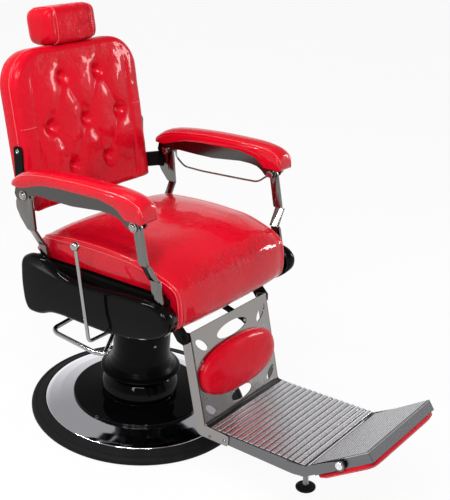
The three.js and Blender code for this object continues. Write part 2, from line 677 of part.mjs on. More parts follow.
add(back, 'back_panel', plate('y', panelOutline, PANEL_N, PANEL_N + PANEL_T), blackVinyl);
add(back, 'headrest_guide', cut(
  box(-GUIDE_HALF, GUIDE_HALF, GUIDE_N, PANEL_N - GAP, GUIDE_LOW, BACK_H - 3),
  box(-STEM_HALF - RUN, STEM_HALF + RUN, GUIDE_N + 4 - RUN, GUIDE_N + 10 + RUN, GUIDE_LOW - 10, BACK_H + 5),
), steel);
BUTTONS.forEach(([x, u], i) => {
  const dome = new THREE.LatheGeometry([[0, -8], [5, -7.4], [10, -5], [12, -2], [12, 0.6], [0, 0.6]].map(
    ([r, n]) => new THREE.Vector2(r, n)), 12);
  dome.translate(x, 0, u);
  const solid = toSolid(dome);
  add(back, `back_button_${i + 1}`, solid.volume() < 0 ? toSolid(flipped(dome)) : solid, vinyl);
});

// headrest: block cushion on a flat stem
add(back, 'headrest_cushion', form(8, 6, 6, (a, b, c) => {
  const [p, q, r] = soften(a, b, c, 7);
  return [p * 97, 22.5 + q * 48.5, BACK_H + 56.5 + r * 50.5];
}), vinyl);
add(back, 'headrest_stem', box(
  -STEM_HALF, STEM_HALF, GUIDE_N + 4, GUIDE_N + 10, GUIDE_LOW + 28, BACK_H + 5.7), chrome);

// brackets between the back's sides and the rear posts
const bracketPlan = [
  [BACK_HALF + 5.5, 235], [BACK_HALF + 5.5, 268], [BACK_HALF + GAP, 268], [BACK_HALF + GAP, 232],
  [POST_TOP_X - 6, 192], [POST_TOP_X - 5, 172], [POST_TOP_X - GAP, 172], [POST_TOP_X - GAP, 196],
];
addPair(seat, 'back_bracket', join(
  plate('z', bracketPlan, ARM_W - 57.3, ARM_W - 12.3),
  plate(
    'x', [[235, ARM_W - 47.3], [268, ARM_W - 47.3], [280, ARM_W + 104.7], [248, ARM_W + 104.7]],
    BACK_HALF + GAP, BACK_HALF + 5.3, 4,
  ),
), satinBlack);

// ------------------------------------------------------------------ leg rest
// calf group: x across, d rearwards, z = -s down the plate
function ellipse(cx, cy, rx, ry, tilt) {
  const path = new THREE.Path();
  path.absellipse(cx, cy, rx, ry, 0, 2 * Math.PI, true, tilt);
  return path;
}
const calfShape = shapeOf([
  [-CALF_HALF, -CALF_LEN], [CALF_HALF, -CALF_LEN], [CALF_HALF, 0], [-CALF_HALF, 0],
]);
const CALF_HOLES = [
  [0, -45, 66, 20, 0], [0, 29.5 - CALF_LEN, 46, 18, 0],
  [132, -47, 28, 11, 0.72], [-132, -47, 28, 11, -0.72],
  [137, 34.5 - CALF_LEN, 24, 10, 0.72], [-137, 34.5 - CALF_LEN, 24, 10, -0.72],
];
CALF_HOLES.forEach((hole) => calfShape.holes.push(ellipse(...hole)));
const LEG_D = (LEG_Y - CALF_TOP[0]) * Math.cos(CALF_LEAN) - (LEG_Z - CALF_TOP[1]) * Math.sin(CALF_LEAN);
const LEG_S = (LEG_Y - CALF_TOP[0]) * Math.sin(CALF_LEAN) + (LEG_Z - CALF_TOP[1]) * Math.cos(CALF_LEAN);
function intoCalf([y, z]) {
  const dy = y - CALF_TOP[0];
  const dz = z - CALF_TOP[1];
  return [
    dy * Math.cos(CALF_LEAN) - dz * Math.sin(CALF_LEAN),
    dy * Math.sin(CALF_LEAN) + dz * Math.cos(CALF_LEAN),
  ];
}
const calfFlange = [
  [0, 0], [0, -CALF_LEN + 2],
  ...[[-78, 5], [-78, -28], [19, -36], [31, -22]]
    .map(([y, z]) => intoCalf([FOOT_ORIGIN[0] + y, FOOT_ORIGIN[1] + z])),
  [34, -CALF_LEN + 30], [34, -6], [28, 0],
];
function mirrored(solid) {
  return toSolid(mirrorX(toGeometry(solid)));
}
const calfSide = plate('x', calfFlange, CALF_HALF - SHEET, CALF_HALF, 0);
const linkPinD = LEG_D + CRANK * Math.sin(CALF_LEAN - TILT);
const linkPinS = LEG_S - CRANK * Math.cos(CALF_LEAN - TILT);
add(calf, 'calf_plate', cut(
  join(sheet('y', calfShape, 0, SHEET, 6), calfSide, mirrored(calfSide)),
  bar('x', LEG_D, LEG_S, 7 + GAP, CALF_HALF - 8, CALF_HALF + 4, 16),
  bar('x', LEG_D, LEG_S, 7 + GAP, -CALF_HALF - 4, 8 - CALF_HALF, 16),
), chrome);
add(calf, 'link_ear', join(
  box(LINK_X - 8, LINK_X + 16, SHEET + GAP, SHEET + 5, LEG_S - CRANK - 34, LEG_S - 16),
  plate('x', [
    [SHEET + 2, LEG_S - 22], [linkPinD + 9, linkPinS + 2], [linkPinD + 6, linkPinS - 9],
    [SHEET + 2, LEG_S - CRANK - 32],
  ], LINK_X + 7, LINK_X + 13, 3),
  bar('x', linkPinD, linkPinS, 5, LINK_X - 6, LINK_X + 9, 14),
), steel);
add(calf, 'calf_pad', form(10, 1, 8, (a, b, c) => {
  const size = (Math.abs(a) ** 2.4 + Math.abs(c) ** 2.4) ** (1 / 2.4);
  const most = Math.max(Math.abs(a), Math.abs(c));
  const scale = size > 0 ? most / size : 1;
  const reach = Math.min(1, most);
  const dome = 5 + 27 * Math.sqrt(Math.max(0, 1 - reach ** 2.6));
  const front = (1 - b) / 2;
  return [a * scale * (CALF_HALF - 9), -GAP - front * dome, 124.5 - CALF_LEN + c * scale * 71];
}), vinyl);

// brackets that carry the leg rest below the seat rails
const legPivot = intoSeat([LEG_Y, LEG_Z]);
addPair(seat, 'leg_bracket', join(
    plate('x', [
      [legPivot[0] - 16, legPivot[1] - 10], [legPivot[0] - 16, legPivot[1] + 10], [-296, -10], [-281, 2],
      [-270, 44], [-215, 44], [-236, 4],
      [legPivot[0] + 20, legPivot[1] - 14], [legPivot[0], legPivot[1] - 20],
    ], 173, 180),
    box(173, RAIL_OUT - 1, -270, -215, 39, RAIL_W0 - GAP),
  bar('x', legPivot[0], legPivot[1], 7, CALF_HALF - 6, 183, 16),
  bar('x', legPivot[0], legPivot[1], 11, CALF_HALF - 8, CALF_HALF - SHEET - GAP, 6),
), satinBlack);

// foot plate: forward is -y, ribs run across
function ribbed(length, first, count, pitch, width, height) {
  const points = [[-length, -SHEET], [0, -SHEET], [0, 0]];
  for (let i = 0; i < count; i += 1) {
    const y = -(first + i * pitch);
    points.push([y, 0], [y - width / 2, height], [y - width, 0]);
  }
  points.push([-length, 0]);
  return points;
}
const FOOT_END = FOOT_LEN - 4;
const LEVEL_Y = 110.8 - FOOT_LEN;
const footSide = plate('x', [
  [-4, 0], [-4, -31], [-FOOT_END + 40, -38], [-FOOT_END + 6, -33], [-FOOT_END + 2, 0],
], FOOT_HALF - SHEET, FOOT_HALF);
const lugTurn = FLIP_RISE - FOOT_RISE;
const lugAt = [
  -FOOT_LEN - FLIP_AXIS * Math.cos(lugTurn) - FLIP_DROP * Math.sin(lugTurn),
  FLIP_AXIS * Math.sin(lugTurn) - FLIP_DROP * Math.cos(lugTurn),
];
const flipLug = join(
  plate('x', [
    [-FOOT_END + 60, -4], [-FOOT_END + 50, -36], [-FOOT_END + 6, -33], [lugAt[0] + 6, lugAt[1] - 15],
    [lugAt[0] - 13, lugAt[1] - 4], [lugAt[0] - 6, lugAt[1] + 13], [lugAt[0] + 12, lugAt[1] + 8],
    [-FOOT_END + 2, -2],
  ], FOOT_HALF - SHEET, FOOT_HALF + 1.5, 5),
  bar('x', lugAt[0], lugAt[1], 15, FOOT_HALF - SHEET, FOOT_HALF + 1.5, 18),
);
const footFlange = cut(join(footSide, flipLug), bar('x', lugAt[0], lugAt[1], 6 + GAP, 150, 175, 14));
add(foot, 'foot_plate', cut(
  join(
    sheet(
      'x', shapeOf(ribbed(FOOT_END, 16, Math.floor((FOOT_END - 17) / FOOT_PITCH), FOOT_PITCH, 7, 2.2)),
      -FOOT_HALF, FOOT_HALF,
    ),
    footFlange,
    mirrored(footFlange),
    bar('z', 0, LEVEL_Y, 14, -SHEET - 30, -SHEET + 0.5, 16),
  ),
  bar('z', 0, LEVEL_Y, 8 + RUN, -40, -2, 20),
  box(-400, 400, -1.2, 40, -60, 40),
), chrome);

// leveller: upright stud with a rubber foot
add(foot, 'leveller_stud', bar('z', 0, LEVEL_Y, 8, -185, -SHEET - 16.5, 20), steel);
add(foot, 'leveller_foot', join(
  bar('z', 0, LEVEL_Y, 28, -198, -186, 28),
  bar('z', 0, LEVEL_Y, 14, -186.2, -185.3, 20),
), rubber);

// turn-over panel: pivots about the axis through its middle
add(flip, 'flip_plate', join(
  sheet(
    'x', shapeOf(ribbed(FLIP_LEN, 9, Math.floor((FLIP_LEN - 12) / FLIP_PITCH), FLIP_PITCH, 4.4, 1.6)),
    -FLIP_HALF, FLIP_HALF,
  ),
  box(-FLIP_HALF, FLIP_HALF, -FLIP_LEN, -FLIP_LEN + SHEET, -FLIP_SKIRT, -1),
  box(-FLIP_HALF, FLIP_HALF, -SHEET - 3, -3, -FLIP_SKIRT, -1),
  box(-FLIP_HALF, -FLIP_HALF + SHEET, -FLIP_LEN, -3, -FLIP_SKIRT, -1),
  box(FLIP_HALF - SHEET, FLIP_HALF, -FLIP_LEN, -3, -FLIP_SKIRT, -1),
  bar('x', -FLIP_AXIS, -FLIP_DROP, 6, FLIP_HALF - 1, FOOT_HALF + 5, 14),
  bar('x', -FLIP_AXIS, -FLIP_DROP, 6, -FOOT_HALF - 5, 1 - FLIP_HALF, 14),
), chrome);

add(flip, 'flip_pad', form(6, 6, 2, (a, b, c) => {
  const [p, q] = soften(a, b, 0, 12);
  const down = (1 - c) / 2;
  const inset = down < 0.5 ? 2 : 14 * (down - 0.5);
  const fall = 2.5 * down * Math.max(Math.abs(a), Math.abs(b)) ** 4;
  return [
    p * (FLIP_HALF + 1 - inset), -FLIP_LEN / 2 - 1 + q * (FLIP_LEN / 2 - 1 - inset),
    -FLIP_SKIRT - GAP - FLIP_PAD * down + fall,
  ];
}), vinyl);

// ------------------------------------------------------------------- linkage
const linkRear = [REAR_PIVOT_V, PIVOT_W - CRANK];
const linkFront = [legPivot[0], legPivot[1] - CRANK];
const linkRun = Math.hypot(linkRear[0] - linkFront[0], linkRear[1] - linkFront[1]);
const linkSide = [
  (-8 * (linkRear[1] - linkFront[1])) / linkRun,
  (8 * (linkRear[0] - linkFront[0])) / linkRun,
];
add(seat, 'recline_link', cut(
  join(
    plate('x', [
      [linkRear[0] + linkSide[0], linkRear[1] + linkSide[1]],
      [linkFront[0] + linkSide[0], linkFront[1] + linkSide[1]],
      [linkFront[0] - linkSide[0], linkFront[1] - linkSide[1]],
      [linkRear[0] - linkSide[0], linkRear[1] - linkSide[1]],
    ], LINK_X - 6, LINK_X + 4),
    bar('x', ...linkRear, 11, LINK_X - 6, LINK_X + 4, 16),
    bar('x', ...linkFront, 11, LINK_X - 6, LINK_X + 4, 16),
  ),
  bar('x', ...linkRear, 5 + RUN, LINK_X - 10, LINK_X + 10, 14),
  bar('x', ...linkFront, 6, LINK_X - 10, LINK_X + 10, 14),
), satinBlack);

const SPRING_REAR = springPin[0];
add(seat, 'gas_spring_cylinder', cut(
  join(
    bar('y', SPRING_X, SPRING_W, 11, -72, 64, 18),
    bar('x', -88, SPRING_W, 9, SPRING_X - 6, SPRING_X + 7, 14),
    bar('y', SPRING_X, SPRING_W, 6, -84, -70, 10),
  ),
  bar('x', -88, SPRING_W, 4 + RUN, SPRING_X - 12, SPRING_X + 12, 12),
  bar('y', SPRING_X, SPRING_W, 5 + RUN, -36, 66, 14),
), satinBlack);
add(seat, 'gas_spring_rod', cut(
  join(
    bar('y', SPRING_X, SPRING_W, 5, 12, SPRING_REAR - 9, 14),
    bar('x', SPRING_REAR, SPRING_W, 13, SPRING_X - 6, SPRING_X + 6, 18),
  ),
  bar('x', SPRING_REAR, SPRING_W + 2.4, 5.7, SPRING_X - 9, SPRING_X + 9, 14),
  bar('x', SPRING_REAR, SPRING_W - 2.4, 5.7, SPRING_X - 9, SPRING_X + 9, 14),
  box(SPRING_X - 9, SPRING_X + 9, SPRING_REAR - 5.6, SPRING_REAR + 5.6, SPRING_W - 2.4, SPRING_W + 2.4),
), steel);

// ------------------------------------------------------------- recline lever
const LEVER_OUT = -331;
const BALL_R = 13.5;
const ball = [LEVER_OUT, -69.5, 209.7];
const stick = rod([
  [-206, RECLINE_V, RECLINE_W], [LEVER_OUT, RECLINE_V, RECLINE_W], ball,
], 5, 14, 14, 8);
add(seat, 'recline_lever', join(stick, bar('x', RECLINE_V, RECLINE_W, 9, -212, -206, 12)), chrome);
const sphere = new THREE.SphereGeometry(BALL_R, 12, 8);
sphere.translate(ball[0], ball[1], ball[2] + 3);
const stickTip = [ball[0], ball[1] + 0.05, ball[2] + 0.4];
const stickWay = rod([[LEVER_OUT, RECLINE_V, RECLINE_W], stickTip], 5 + GAP, 1, 1, 10);
add(seat, 'recline_knob', cut(toSolid(sphere), stickWay), glossBlack);

export default chair;
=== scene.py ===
"""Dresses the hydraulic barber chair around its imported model.

Shapes are drawn in millimetres, in the frame of the part of the chair that carries them: x runs to
the sitter's left, y to the rear and z up. Paired pieces are drawn on the left and mirrored.
"""
import json
import math
import bmesh
import bpy
from mathutils import Matrix, Vector, noise
from mathutils.bvhtree import BVHTree


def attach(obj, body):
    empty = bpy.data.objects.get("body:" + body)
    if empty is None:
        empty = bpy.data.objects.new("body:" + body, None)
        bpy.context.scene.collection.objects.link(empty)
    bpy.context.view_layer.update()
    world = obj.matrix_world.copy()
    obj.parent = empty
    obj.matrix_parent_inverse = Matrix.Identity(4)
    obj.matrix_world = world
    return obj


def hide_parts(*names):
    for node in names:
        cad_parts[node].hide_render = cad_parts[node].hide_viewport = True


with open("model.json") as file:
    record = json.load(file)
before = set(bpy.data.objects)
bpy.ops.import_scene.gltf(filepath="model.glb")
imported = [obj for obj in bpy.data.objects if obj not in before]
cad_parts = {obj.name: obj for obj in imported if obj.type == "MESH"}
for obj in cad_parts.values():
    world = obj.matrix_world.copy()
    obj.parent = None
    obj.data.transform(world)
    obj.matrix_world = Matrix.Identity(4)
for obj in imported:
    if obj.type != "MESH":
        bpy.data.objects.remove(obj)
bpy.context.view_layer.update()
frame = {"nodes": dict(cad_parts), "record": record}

SLOT_OF = {row["node"]: row["material_slot"] for row in frame["record"]["subparts"]}
BODY_OF = {node: body for body, nodes in frame["record"]["behaviour"]["bodies"].items() for node in nodes}
SIDES = {"right": -1, "left": 1}

# ------------------------------------------------------------------ local frames
TILT = math.radians(5)
BACK_LEAN = math.radians(7.9)
CALF_LEAN = math.atan2(74, 255)
FOOT_RISE = math.atan2(34, 322)
FLIP_RISE = math.atan2(117, 151)


def leaning(place, angle):
    return Matrix.Translation(Vector(place) / 1000) @ Matrix.Rotation(-angle, 4, "X")


FLOOR = Matrix.Identity(4)
SEAT = leaning((0, 0, 430), TILT)
BACK = SEAT @ leaning((0, 187, 220), BACK_LEAN)
CALF = leaning((0, -313, 437), CALF_LEAN)
FOOT = leaning((0, -387, 182), FOOT_RISE)
FLIP = leaning((0, -709, 216), FLIP_RISE)


# ------------------------------------------------------------------ shader maths
class Wire:
    """A shader socket that can be used in ordinary sums."""

    def __init__(self, network, socket):
        self.network = network
        self.socket = socket

    def _sum(self, operation, *values):
        return self.network.node("ShaderNodeMath", {"operation": operation}, dict(enumerate(values)))

    def __add__(self, other):
        return self._sum("ADD", self, other)

    __radd__ = __add__

    def __sub__(self, other):
        return self._sum("SUBTRACT", self, other)

    def __rsub__(self, other):
        return self._sum("SUBTRACT", other, self)

    def __mul__(self, other):
        return self._sum("MULTIPLY", self, other)

    __rmul__ = __mul__

    def __abs__(self):
        return self._sum("ABSOLUTE", self)

    def __pow__(self, exponent):
        return self._sum("POWER", self, exponent)

    def at_most(self, limit):
        return self._sum("MINIMUM", self, limit)

    def between(self, low, high):
        """Nought below the low value, one above the high value, and smooth from one to the other."""
        return self.network.node("ShaderNodeMapRange", {"interpolation_type": "SMOOTHSTEP"},
                                 {"Value": self, "From Min": low, "From Max": high})


class Network:
    """A node tree, with the one method that adds any node to it."""

    def __init__(self, tree):
        self.tree = tree

    def feed(self, socket, value):
        """Links a wire to a socket, or writes a plain value in it."""
        if isinstance(value, Wire):
            self.tree.links.new(value.socket, socket)
        elif value is not None:
            socket.default_value = value

    def node(self, kind, settings, inputs, output=0):
        """A new node with its settings and inputs, read at one of its outputs."""
        made = self.tree.nodes.new(kind)
        for key, value in settings.items():
            setattr(made, key, value)
        for key, value in inputs.items():
            self.feed(made.inputs[key], value)
        return Wire(self, made.outputs[output])

    def place(self, kind="Object"):
        return self.node("ShaderNodeTexCoord", {}, {}, kind)

    def part_of(self, vector, axis):
        return self.node("ShaderNodeSeparateXYZ", {}, {0: vector}, axis)


class Finish(Network):
    """A material, with the patterns that the chair's finishes are made of."""

    def __init__(self, name, color, roughness, metallic=0.0, specular=0.5, coat=0.0, coat_roughness=0.03):
        self.material = bpy.data.materials.new(name)
        self.material.use_nodes = True
        super().__init__(self.material.node_tree)
        self.shader = self.tree.nodes["Principled BSDF"]
        self.set("Base Color", (*color, 1.0))
        self.set("Roughness", roughness)
        self.set("Metallic", metallic)
        self.set("Specular IOR Level", specular)
        self.set("Coat Weight", coat)
        self.set("Coat Roughness", coat_roughness)

    def set(self, socket, value):
        self.feed(self.shader.inputs[socket], value)

    def turned_place(self, rotation=(0, 0, 0), scale=(1, 1, 1)):
        return self.node("ShaderNodeMapping", {}, {
            "Vector": self.place(), "Rotation": rotation, "Scale": scale})

    def cloudy(self, scale, detail=3.0, rough=0.5, place=None, distortion=0.0):
        return self.node("ShaderNodeTexNoise", {}, {
            "Vector": place or self.place(), "Scale": scale, "Detail": detail, "Roughness": rough,
            "Distortion": distortion})

    def cells(self, scale, feature, place=None):
        return self.node("ShaderNodeTexVoronoi", {"feature": feature}, {
            "Vector": place or self.place(), "Scale": scale})

    def mix(self, share, first, second):
        first, second = (tone if isinstance(tone, Wire) else (*tone, 1.0) for tone in (first, second))
        return self.node("ShaderNodeMix", {"data_type": "RGBA"}, {0: share, 6: first, 7: second}, 2)

    def bump(self, height, strength, distance, under=None):
        """Adds relief, over the relief of an earlier bump where one is given."""
        relief = self.node("ShaderNodeBump", {}, {
            "Strength": strength, "Distance": distance, "Height": height, "Normal": under})
        self.set("Normal", relief)
        return relief


# ------------------------------------------------------------------ finishes
VINYL_RED, VINYL_DEEP, VINYL_BRIGHT = (0.61, 0.001, 0.013), (0.5, 0.001, 0.01), (0.7, 0.002, 0.018)
# A dark grey painted into deep grooves and onto side walls, as painted shade.
PAINTED_GROOVE_SHADE = (0.05, 0.05, 0.055)


def red_vinyl(name, slack=1.0, coat=0.22, crushed=None):
    """Smooth coated vinyl: a fine pebble, slack ripples, a web of creases and an uneven shine."""
    finish = Finish(name, VINYL_RED, 0.3, specular=0.05, coat=coat, coat_roughness=0.06)
    finish.set("Base Color", finish.mix(finish.cloudy(5.5), VINYL_DEEP, VINYL_BRIGHT))
    finish.set("Roughness", 0.18 + finish.cloudy(38, 4.0, 0.6) * 0.2)
    ripples = finish.cloudy(26, 2.0, 0.55, distortion=1.2)
    creased_place = finish.turned_place(rotation=(0.3, 0.2, 0.7), scale=(1, 1.7, 1))
    web = finish.cells(58, "DISTANCE_TO_EDGE", creased_place)
    relief = finish.bump(ripples, 0.4 * slack, 0.004)
    relief = finish.bump(web.between(0.0, 0.12), 0.22 * slack, 0.0012, relief)
    if crushed:
        relief = crushed_folds(finish, relief, **crushed)
    pebble = finish.cells(620, "F1")
    finish.bump(pebble, 0.12, 0.0004, relief)
    return finish.material


def crushed_folds(finish, under, axis, lean, low, high, stretch, scale, depth):
    """Sharp folds in the vinyl, which set in from low to high along an axis that may lean."""
    inside = finish.part_of(finish.turned_place(rotation=(lean, 0, 0)), axis).between(low, high)
    folds = finish.cloudy(scale, 2.0, 0.6, finish.turned_place(rotation=(0, 0, 0.25), scale=stretch), 0.9)
    ridge = 1.0 - abs(folds * 2.0 - 1.0)
    return finish.bump(ridge ** 6.0 * inside, 0.8, depth, under)


def red_thread():
    # The thread is paler than the vinyl, a painted highlight for the gleam along the stitches.
    finish = Finish("thread", (0.95, 0.28, 0.28), 0.35)
    finish.bump(finish.cloudy(1400, 2.0), 0.4, 0.0003)
    return finish.material


def chrome(name, roughness, tint):
    """Polished plate with faint polishing marks and a few dull patches."""
    finish = Finish(name, tint, roughness, metallic=1.0)
    haze = finish.cloudy(9, 4.0, 0.6)
    marks = finish.cloudy(60, 6.0, 0.7, finish.turned_place(scale=(1, 14, 1)))
    finish.set("Roughness", roughness + haze * 0.05 + marks * 0.03)
    finish.bump(finish.cloudy(22, 2.0), 0.05, 0.0008)
    return finish.material


def brushed(name, tint, roughness, stretch, groove_shade=False):
    """Metal with a fine grain that runs one way, and painted shade where the piece marks its grooves."""
    finish = Finish(name, tint, roughness, metallic=1.0)
    grain = finish.cloudy(190, 5.0, 0.65, finish.turned_place(scale=stretch))
    tone = finish.mix(grain, [0.82 * part for part in tint], tint)
    if groove_shade:
        groove = finish.node("ShaderNodeAttribute", {"attribute_name": "groove"}, {}, "Fac")
        # Painted shade: the colour goes towards a dark grey where the groove mark is high.
        tone = finish.mix(groove ** 1.6, tone, PAINTED_GROOVE_SHADE)
    finish.set("Base Color", tone)
    finish.set("Roughness", roughness - 0.06 + grain * 0.14)
    finish.bump(grain, 0.12, 0.0003)
    return finish.material


def black_gloss():
    finish = Finish("black_gloss", (0.002, 0.002, 0.0025), 0.1, specular=0.03, coat=0.14, coat_roughness=0.02)
    finish.set("Roughness", 0.03 + finish.cloudy(14, 4.0) * 0.04)
    finish.bump(finish.cloudy(9, 2.0), 0.06, 0.002)
    return finish.material


def black_satin(name, roughness):
    finish = Finish(name, (0.004, 0.0036, 0.0034), roughness, specular=0.06)
    finish.set("Roughness", roughness + finish.cloudy(26, 4.0) * 0.12)
    finish.bump(finish.cloudy(420), 0.15, 0.0004)
    return finish.material


def black_rubber():
    finish = Finish("rubber", (0.007, 0.007, 0.007), 0.6, specular=0.07)
    dust = finish.cloudy(16, 5.0, 0.6)
    finish.set("Base Color", finish.mix(dust, (0.006, 0.006, 0.006), (0.014, 0.014, 0.015)))
    finish.set("Roughness", 0.5 + dust * 0.22)
    finish.bump(finish.cloudy(300), 0.2, 0.0004)
    return finish.material


VINYL = red_vinyl("red_vinyl")
SEAT_VINYL = red_vinyl("seat_vinyl", slack=1.1, coat=0.55, crushed={
    "axis": "Z", "lean": -math.pi / 4, "low": 0.624, "high": 0.652, "stretch": (1.0, 0.34, 0.34), "scale": 62,
    "depth": 0.008})
PAD_VINYL = red_vinyl("pad_vinyl", coat=0.6)
HEAD_VINYL = red_vinyl("head_vinyl", crushed={
    "axis": "X", "lean": 0.0, "low": -0.03, "high": 0.05, "stretch": (1.0, 0.7, 0.7), "scale": 30,
    "depth": 0.007})
THREAD = red_thread()
# The chrome, arm, post and calf tints are set far darker than polished chrome, as painted shade standing in
# for dark reflections.
CHROME = chrome("chrome", 0.05, (0.36, 0.355, 0.35))
DISH = chrome("dish_chrome", 0.03, (0.93, 0.93, 0.98))
ARM_PLATE = chrome("arm_plate", 0.1, (0.1, 0.098, 0.094))
POST_PLATE = chrome("post_plate", 0.08, (0.18, 0.175, 0.167))
# Painted shade darkens the grooves and side walls of the foot plate and the panel.
PLATE = brushed("satin_plate", (0.95, 0.94, 0.97), 0.26, (12, 1, 1), groove_shade=True)
CALF_SHEET = chrome("calf_sheet", 0.12, (0.3, 0.285, 0.277))
STEEL = brushed("plain_steel", (0.4, 0.41, 0.42), 0.32, (1, 1, 9))
BLACK_GLOSS = black_gloss()
BLACK_SATIN = black_satin("black_satin", 0.38)
BELL_BLACK = black_satin("bell_black", 0.24)
BLACK_VINYL = black_satin("black_vinyl", 0.45)
RUBBER = black_rubber()

CAD_FINISH = {
    "chrome": CHROME, "steel": STEEL, "gloss_black": BLACK_GLOSS, "satin_black": BLACK_SATIN,
    "rubber": RUBBER, "red_vinyl": VINYL, "black_vinyl": BLACK_VINYL,
}
for node_name, slot_name in SLOT_OF.items():
    node = frame["nodes"][node_name]
    for material_slot in node.material_slots:
        material_slot.material = CAD_FINISH[slot_name]
    if not node.material_slots:
        node.data.materials.append(CAD_FINISH[slot_name])


# ------------------------------------------------------------------ numbers and curves
def spread(low, high, count):
    """Evenly spaced values, with both ends."""
    return [low + (high - low) * i / (count - 1) for i in range(count)]


def smooth_step(value, low, high):
    share = min(1.0, max(0.0, (value - low) / (high - low)))
    return share * share * (3 - 2 * share)


def bell_curve(distance, width):
    return math.exp(-(distance / width) ** 2)


def rumple(x, y, z):
    """Smooth unevenness between about -1 and 1, the same on each run."""
    return noise.noise(Vector((x, y, z)))


def row_before(rows, share):
    """The row before a share from 0 to 1 of a table, and how far the share lies past it."""
    place = min(max(share, 0.0), 1.0) * (len(rows) - 1)
    i = min(int(place), len(rows) - 2)
    return i, place - i


def straight_along(rows, share):
    """Reads a table of rows at a share from 0 to 1, straight from row to row."""
    i, f = row_before(rows, share)
    return [p * (1 - f) + q * f for p, q in zip(rows[i], rows[i + 1])]


def along(rows, share):
    """Reads a table of rows at a share from 0 to 1, on a smooth curve through them."""
    i, f = row_before(rows, share)
    around = rows[max(i - 1, 0)], rows[i], rows[i + 1], rows[min(i + 2, len(rows) - 1)]
    return [0.5 * (2 * p1 + (p2 - p0) * f + (2 * p0 - 5 * p1 + 4 * p2 - p3) * f * f
                   + (3 * p1 - p0 - 3 * p2 + p3) * f ** 3) for p0, p1, p2, p3 in zip(*around)]


def softened(a, b, c, power):
    """Draws a point of a cube in towards a rounded block: the higher the power, the squarer it is."""
    size = (abs(a) ** power + abs(b) ** power + abs(c) ** power) ** (1 / power)
    most = max(abs(a), abs(b), abs(c))
    return (a * most / size, b * most / size, c * most / size) if size else (a, b, c)


def rounded_line(points, radius, closed=False, steps=5):
    """A line of flat points with its corners turned into arcs."""
    line = []
    last = len(points) - 1
    for i, point in enumerate(points):
        here = Vector(point)
        if not closed and i in (0, last):
            line.append(here)
            continue
        before = Vector(points[i - 1]) - here
        after = Vector(points[(i + 1) % len(points)]) - here
        cut = min(radius, before.length * 0.49, after.length * 0.49)
        start, end = here + before.normalized() * cut, here + after.normalized() * cut
        line += [start.lerp(here, f).lerp(here.lerp(end, f), f) for f in spread(0, 1, steps + 1)]
    return line


def rectangle(left, low, right, high):
    return [(left, low), (right, low), (right, high), (left, high)]


def oval(y, z, wide, high, tilt=0.0, steps=44):
    """The outline of an oval hole, turned by its tilt."""
    cos, sin = math.cos(tilt), math.sin(tilt)
    outline = []
    for i in range(steps):
        turn = 2 * math.pi * i / steps
        p, q = wide * math.cos(turn), high * math.sin(turn)
        outline.append((y + p * cos - q * sin, z + p * sin + q * cos))
    return outline


def round_hole(place, radius):
    return oval(*place, radius, radius, steps=28)


# ------------------------------------------------------------------ pieces
MERGE_DISTANCE = 1e-4
EASE_FROM = math.radians(28)


def new_piece(name, bm, material):
    """A bmesh made an object of the scene, with one material and smooth faces."""
    mesh = bpy.data.meshes.new(name)
    bm.to_mesh(mesh)
    bm.free()
    mesh.materials.append(material)
    mesh.shade_smooth()
    piece = bpy.data.objects.new(name, mesh)
    bpy.context.collection.objects.link(piece)
    return piece


def finish_piece(name, bm, material, body, nodes=(), crease=40, local=FLOOR, keep_normals=False):
    """Turns a bmesh in millimetres into a piece in place, riding on its body."""
    if not keep_normals:
        bmesh.ops.remove_doubles(bm, verts=bm.verts, dist=MERGE_DISTANCE)
        bmesh.ops.recalc_face_normals(bm, faces=bm.faces)
    bmesh.ops.transform(bm, matrix=local @ Matrix.Scale(0.001, 4), verts=bm.verts)
    piece = new_piece(name, bm, material)
    piece.data.set_sharp_from_angle(angle=math.radians(crease))
    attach(piece, body)
    if nodes:
        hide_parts(*nodes)
    return piece


def ease_edges(piece, radius):
    """Rounds the sharp edges of a piece over, in two segments."""
    ease = piece.modifiers.new("eased", "BEVEL")
    ease.width = radius / 1000
    ease.segments = 2
    ease.limit_method = "ANGLE"
    ease.angle_limit = EASE_FROM
    ease.harden_normals = True
    ease.miter_outer = "MITER_ARC"


def eased(node_name, radius, material):
    """A merged copy of a plain solid with its edges rounded over, in place of the solid."""
    bm = bmesh.new()
    bm.from_mesh(frame["nodes"][node_name].data)
    bmesh.ops.remove_doubles(bm, verts=bm.verts, dist=2e-6)
    bmesh.ops.dissolve_limit(bm, angle_limit=math.radians(1), verts=bm.verts, edges=bm.edges)
    piece = new_piece(f"{node_name}_eased", bm, material)
    ease_edges(piece, radius)
    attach(piece, BODY_OF[node_name])
    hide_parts(node_name)


def handed(bm, side):
    """A shape drawn on the left, mirrored where it goes on the right."""
    if side < 0:
        bmesh.ops.scale(bm, vec=(-1, 1, 1), verts=bm.verts)
        bmesh.ops.reverse_faces(bm, faces=bm.faces)
    return bm


def joined(*shapes):
    """One bmesh out of several."""
    whole = bmesh.new()
    for shape in shapes:
        mesh = bpy.data.meshes.new("loose")
        shape.to_mesh(mesh)
        shape.free()
        whole.from_mesh(mesh)
        bpy.data.meshes.remove(mesh)
    return whole


# ------------------------------------------------------------------ turned, bent and flat shapes
def turned(profile, radius, steps):
    """A shape turned about the upright axis: a solid if its profile starts on the axis, or else a ring."""
    closed = profile[0][0] > 0
    bm = bmesh.new()
    verts = [bm.verts.new((max(p.x, 0.0), 0, p.y)) for p in rounded_line(profile, radius, closed)]
    edges = [bm.edges.new(pair) for pair in zip(verts, verts[1:])]
    if closed:
        edges.append(bm.edges.new((verts[-1], verts[0])))
    bmesh.ops.spin(bm, geom=verts + edges, cent=(0, 0, 0), axis=(0, 0, 1), angle=2 * math.pi,
                   steps=steps, use_merge=True)
    bmesh.ops.remove_doubles(bm, verts=bm.verts, dist=MERGE_DISTANCE)
    return bm


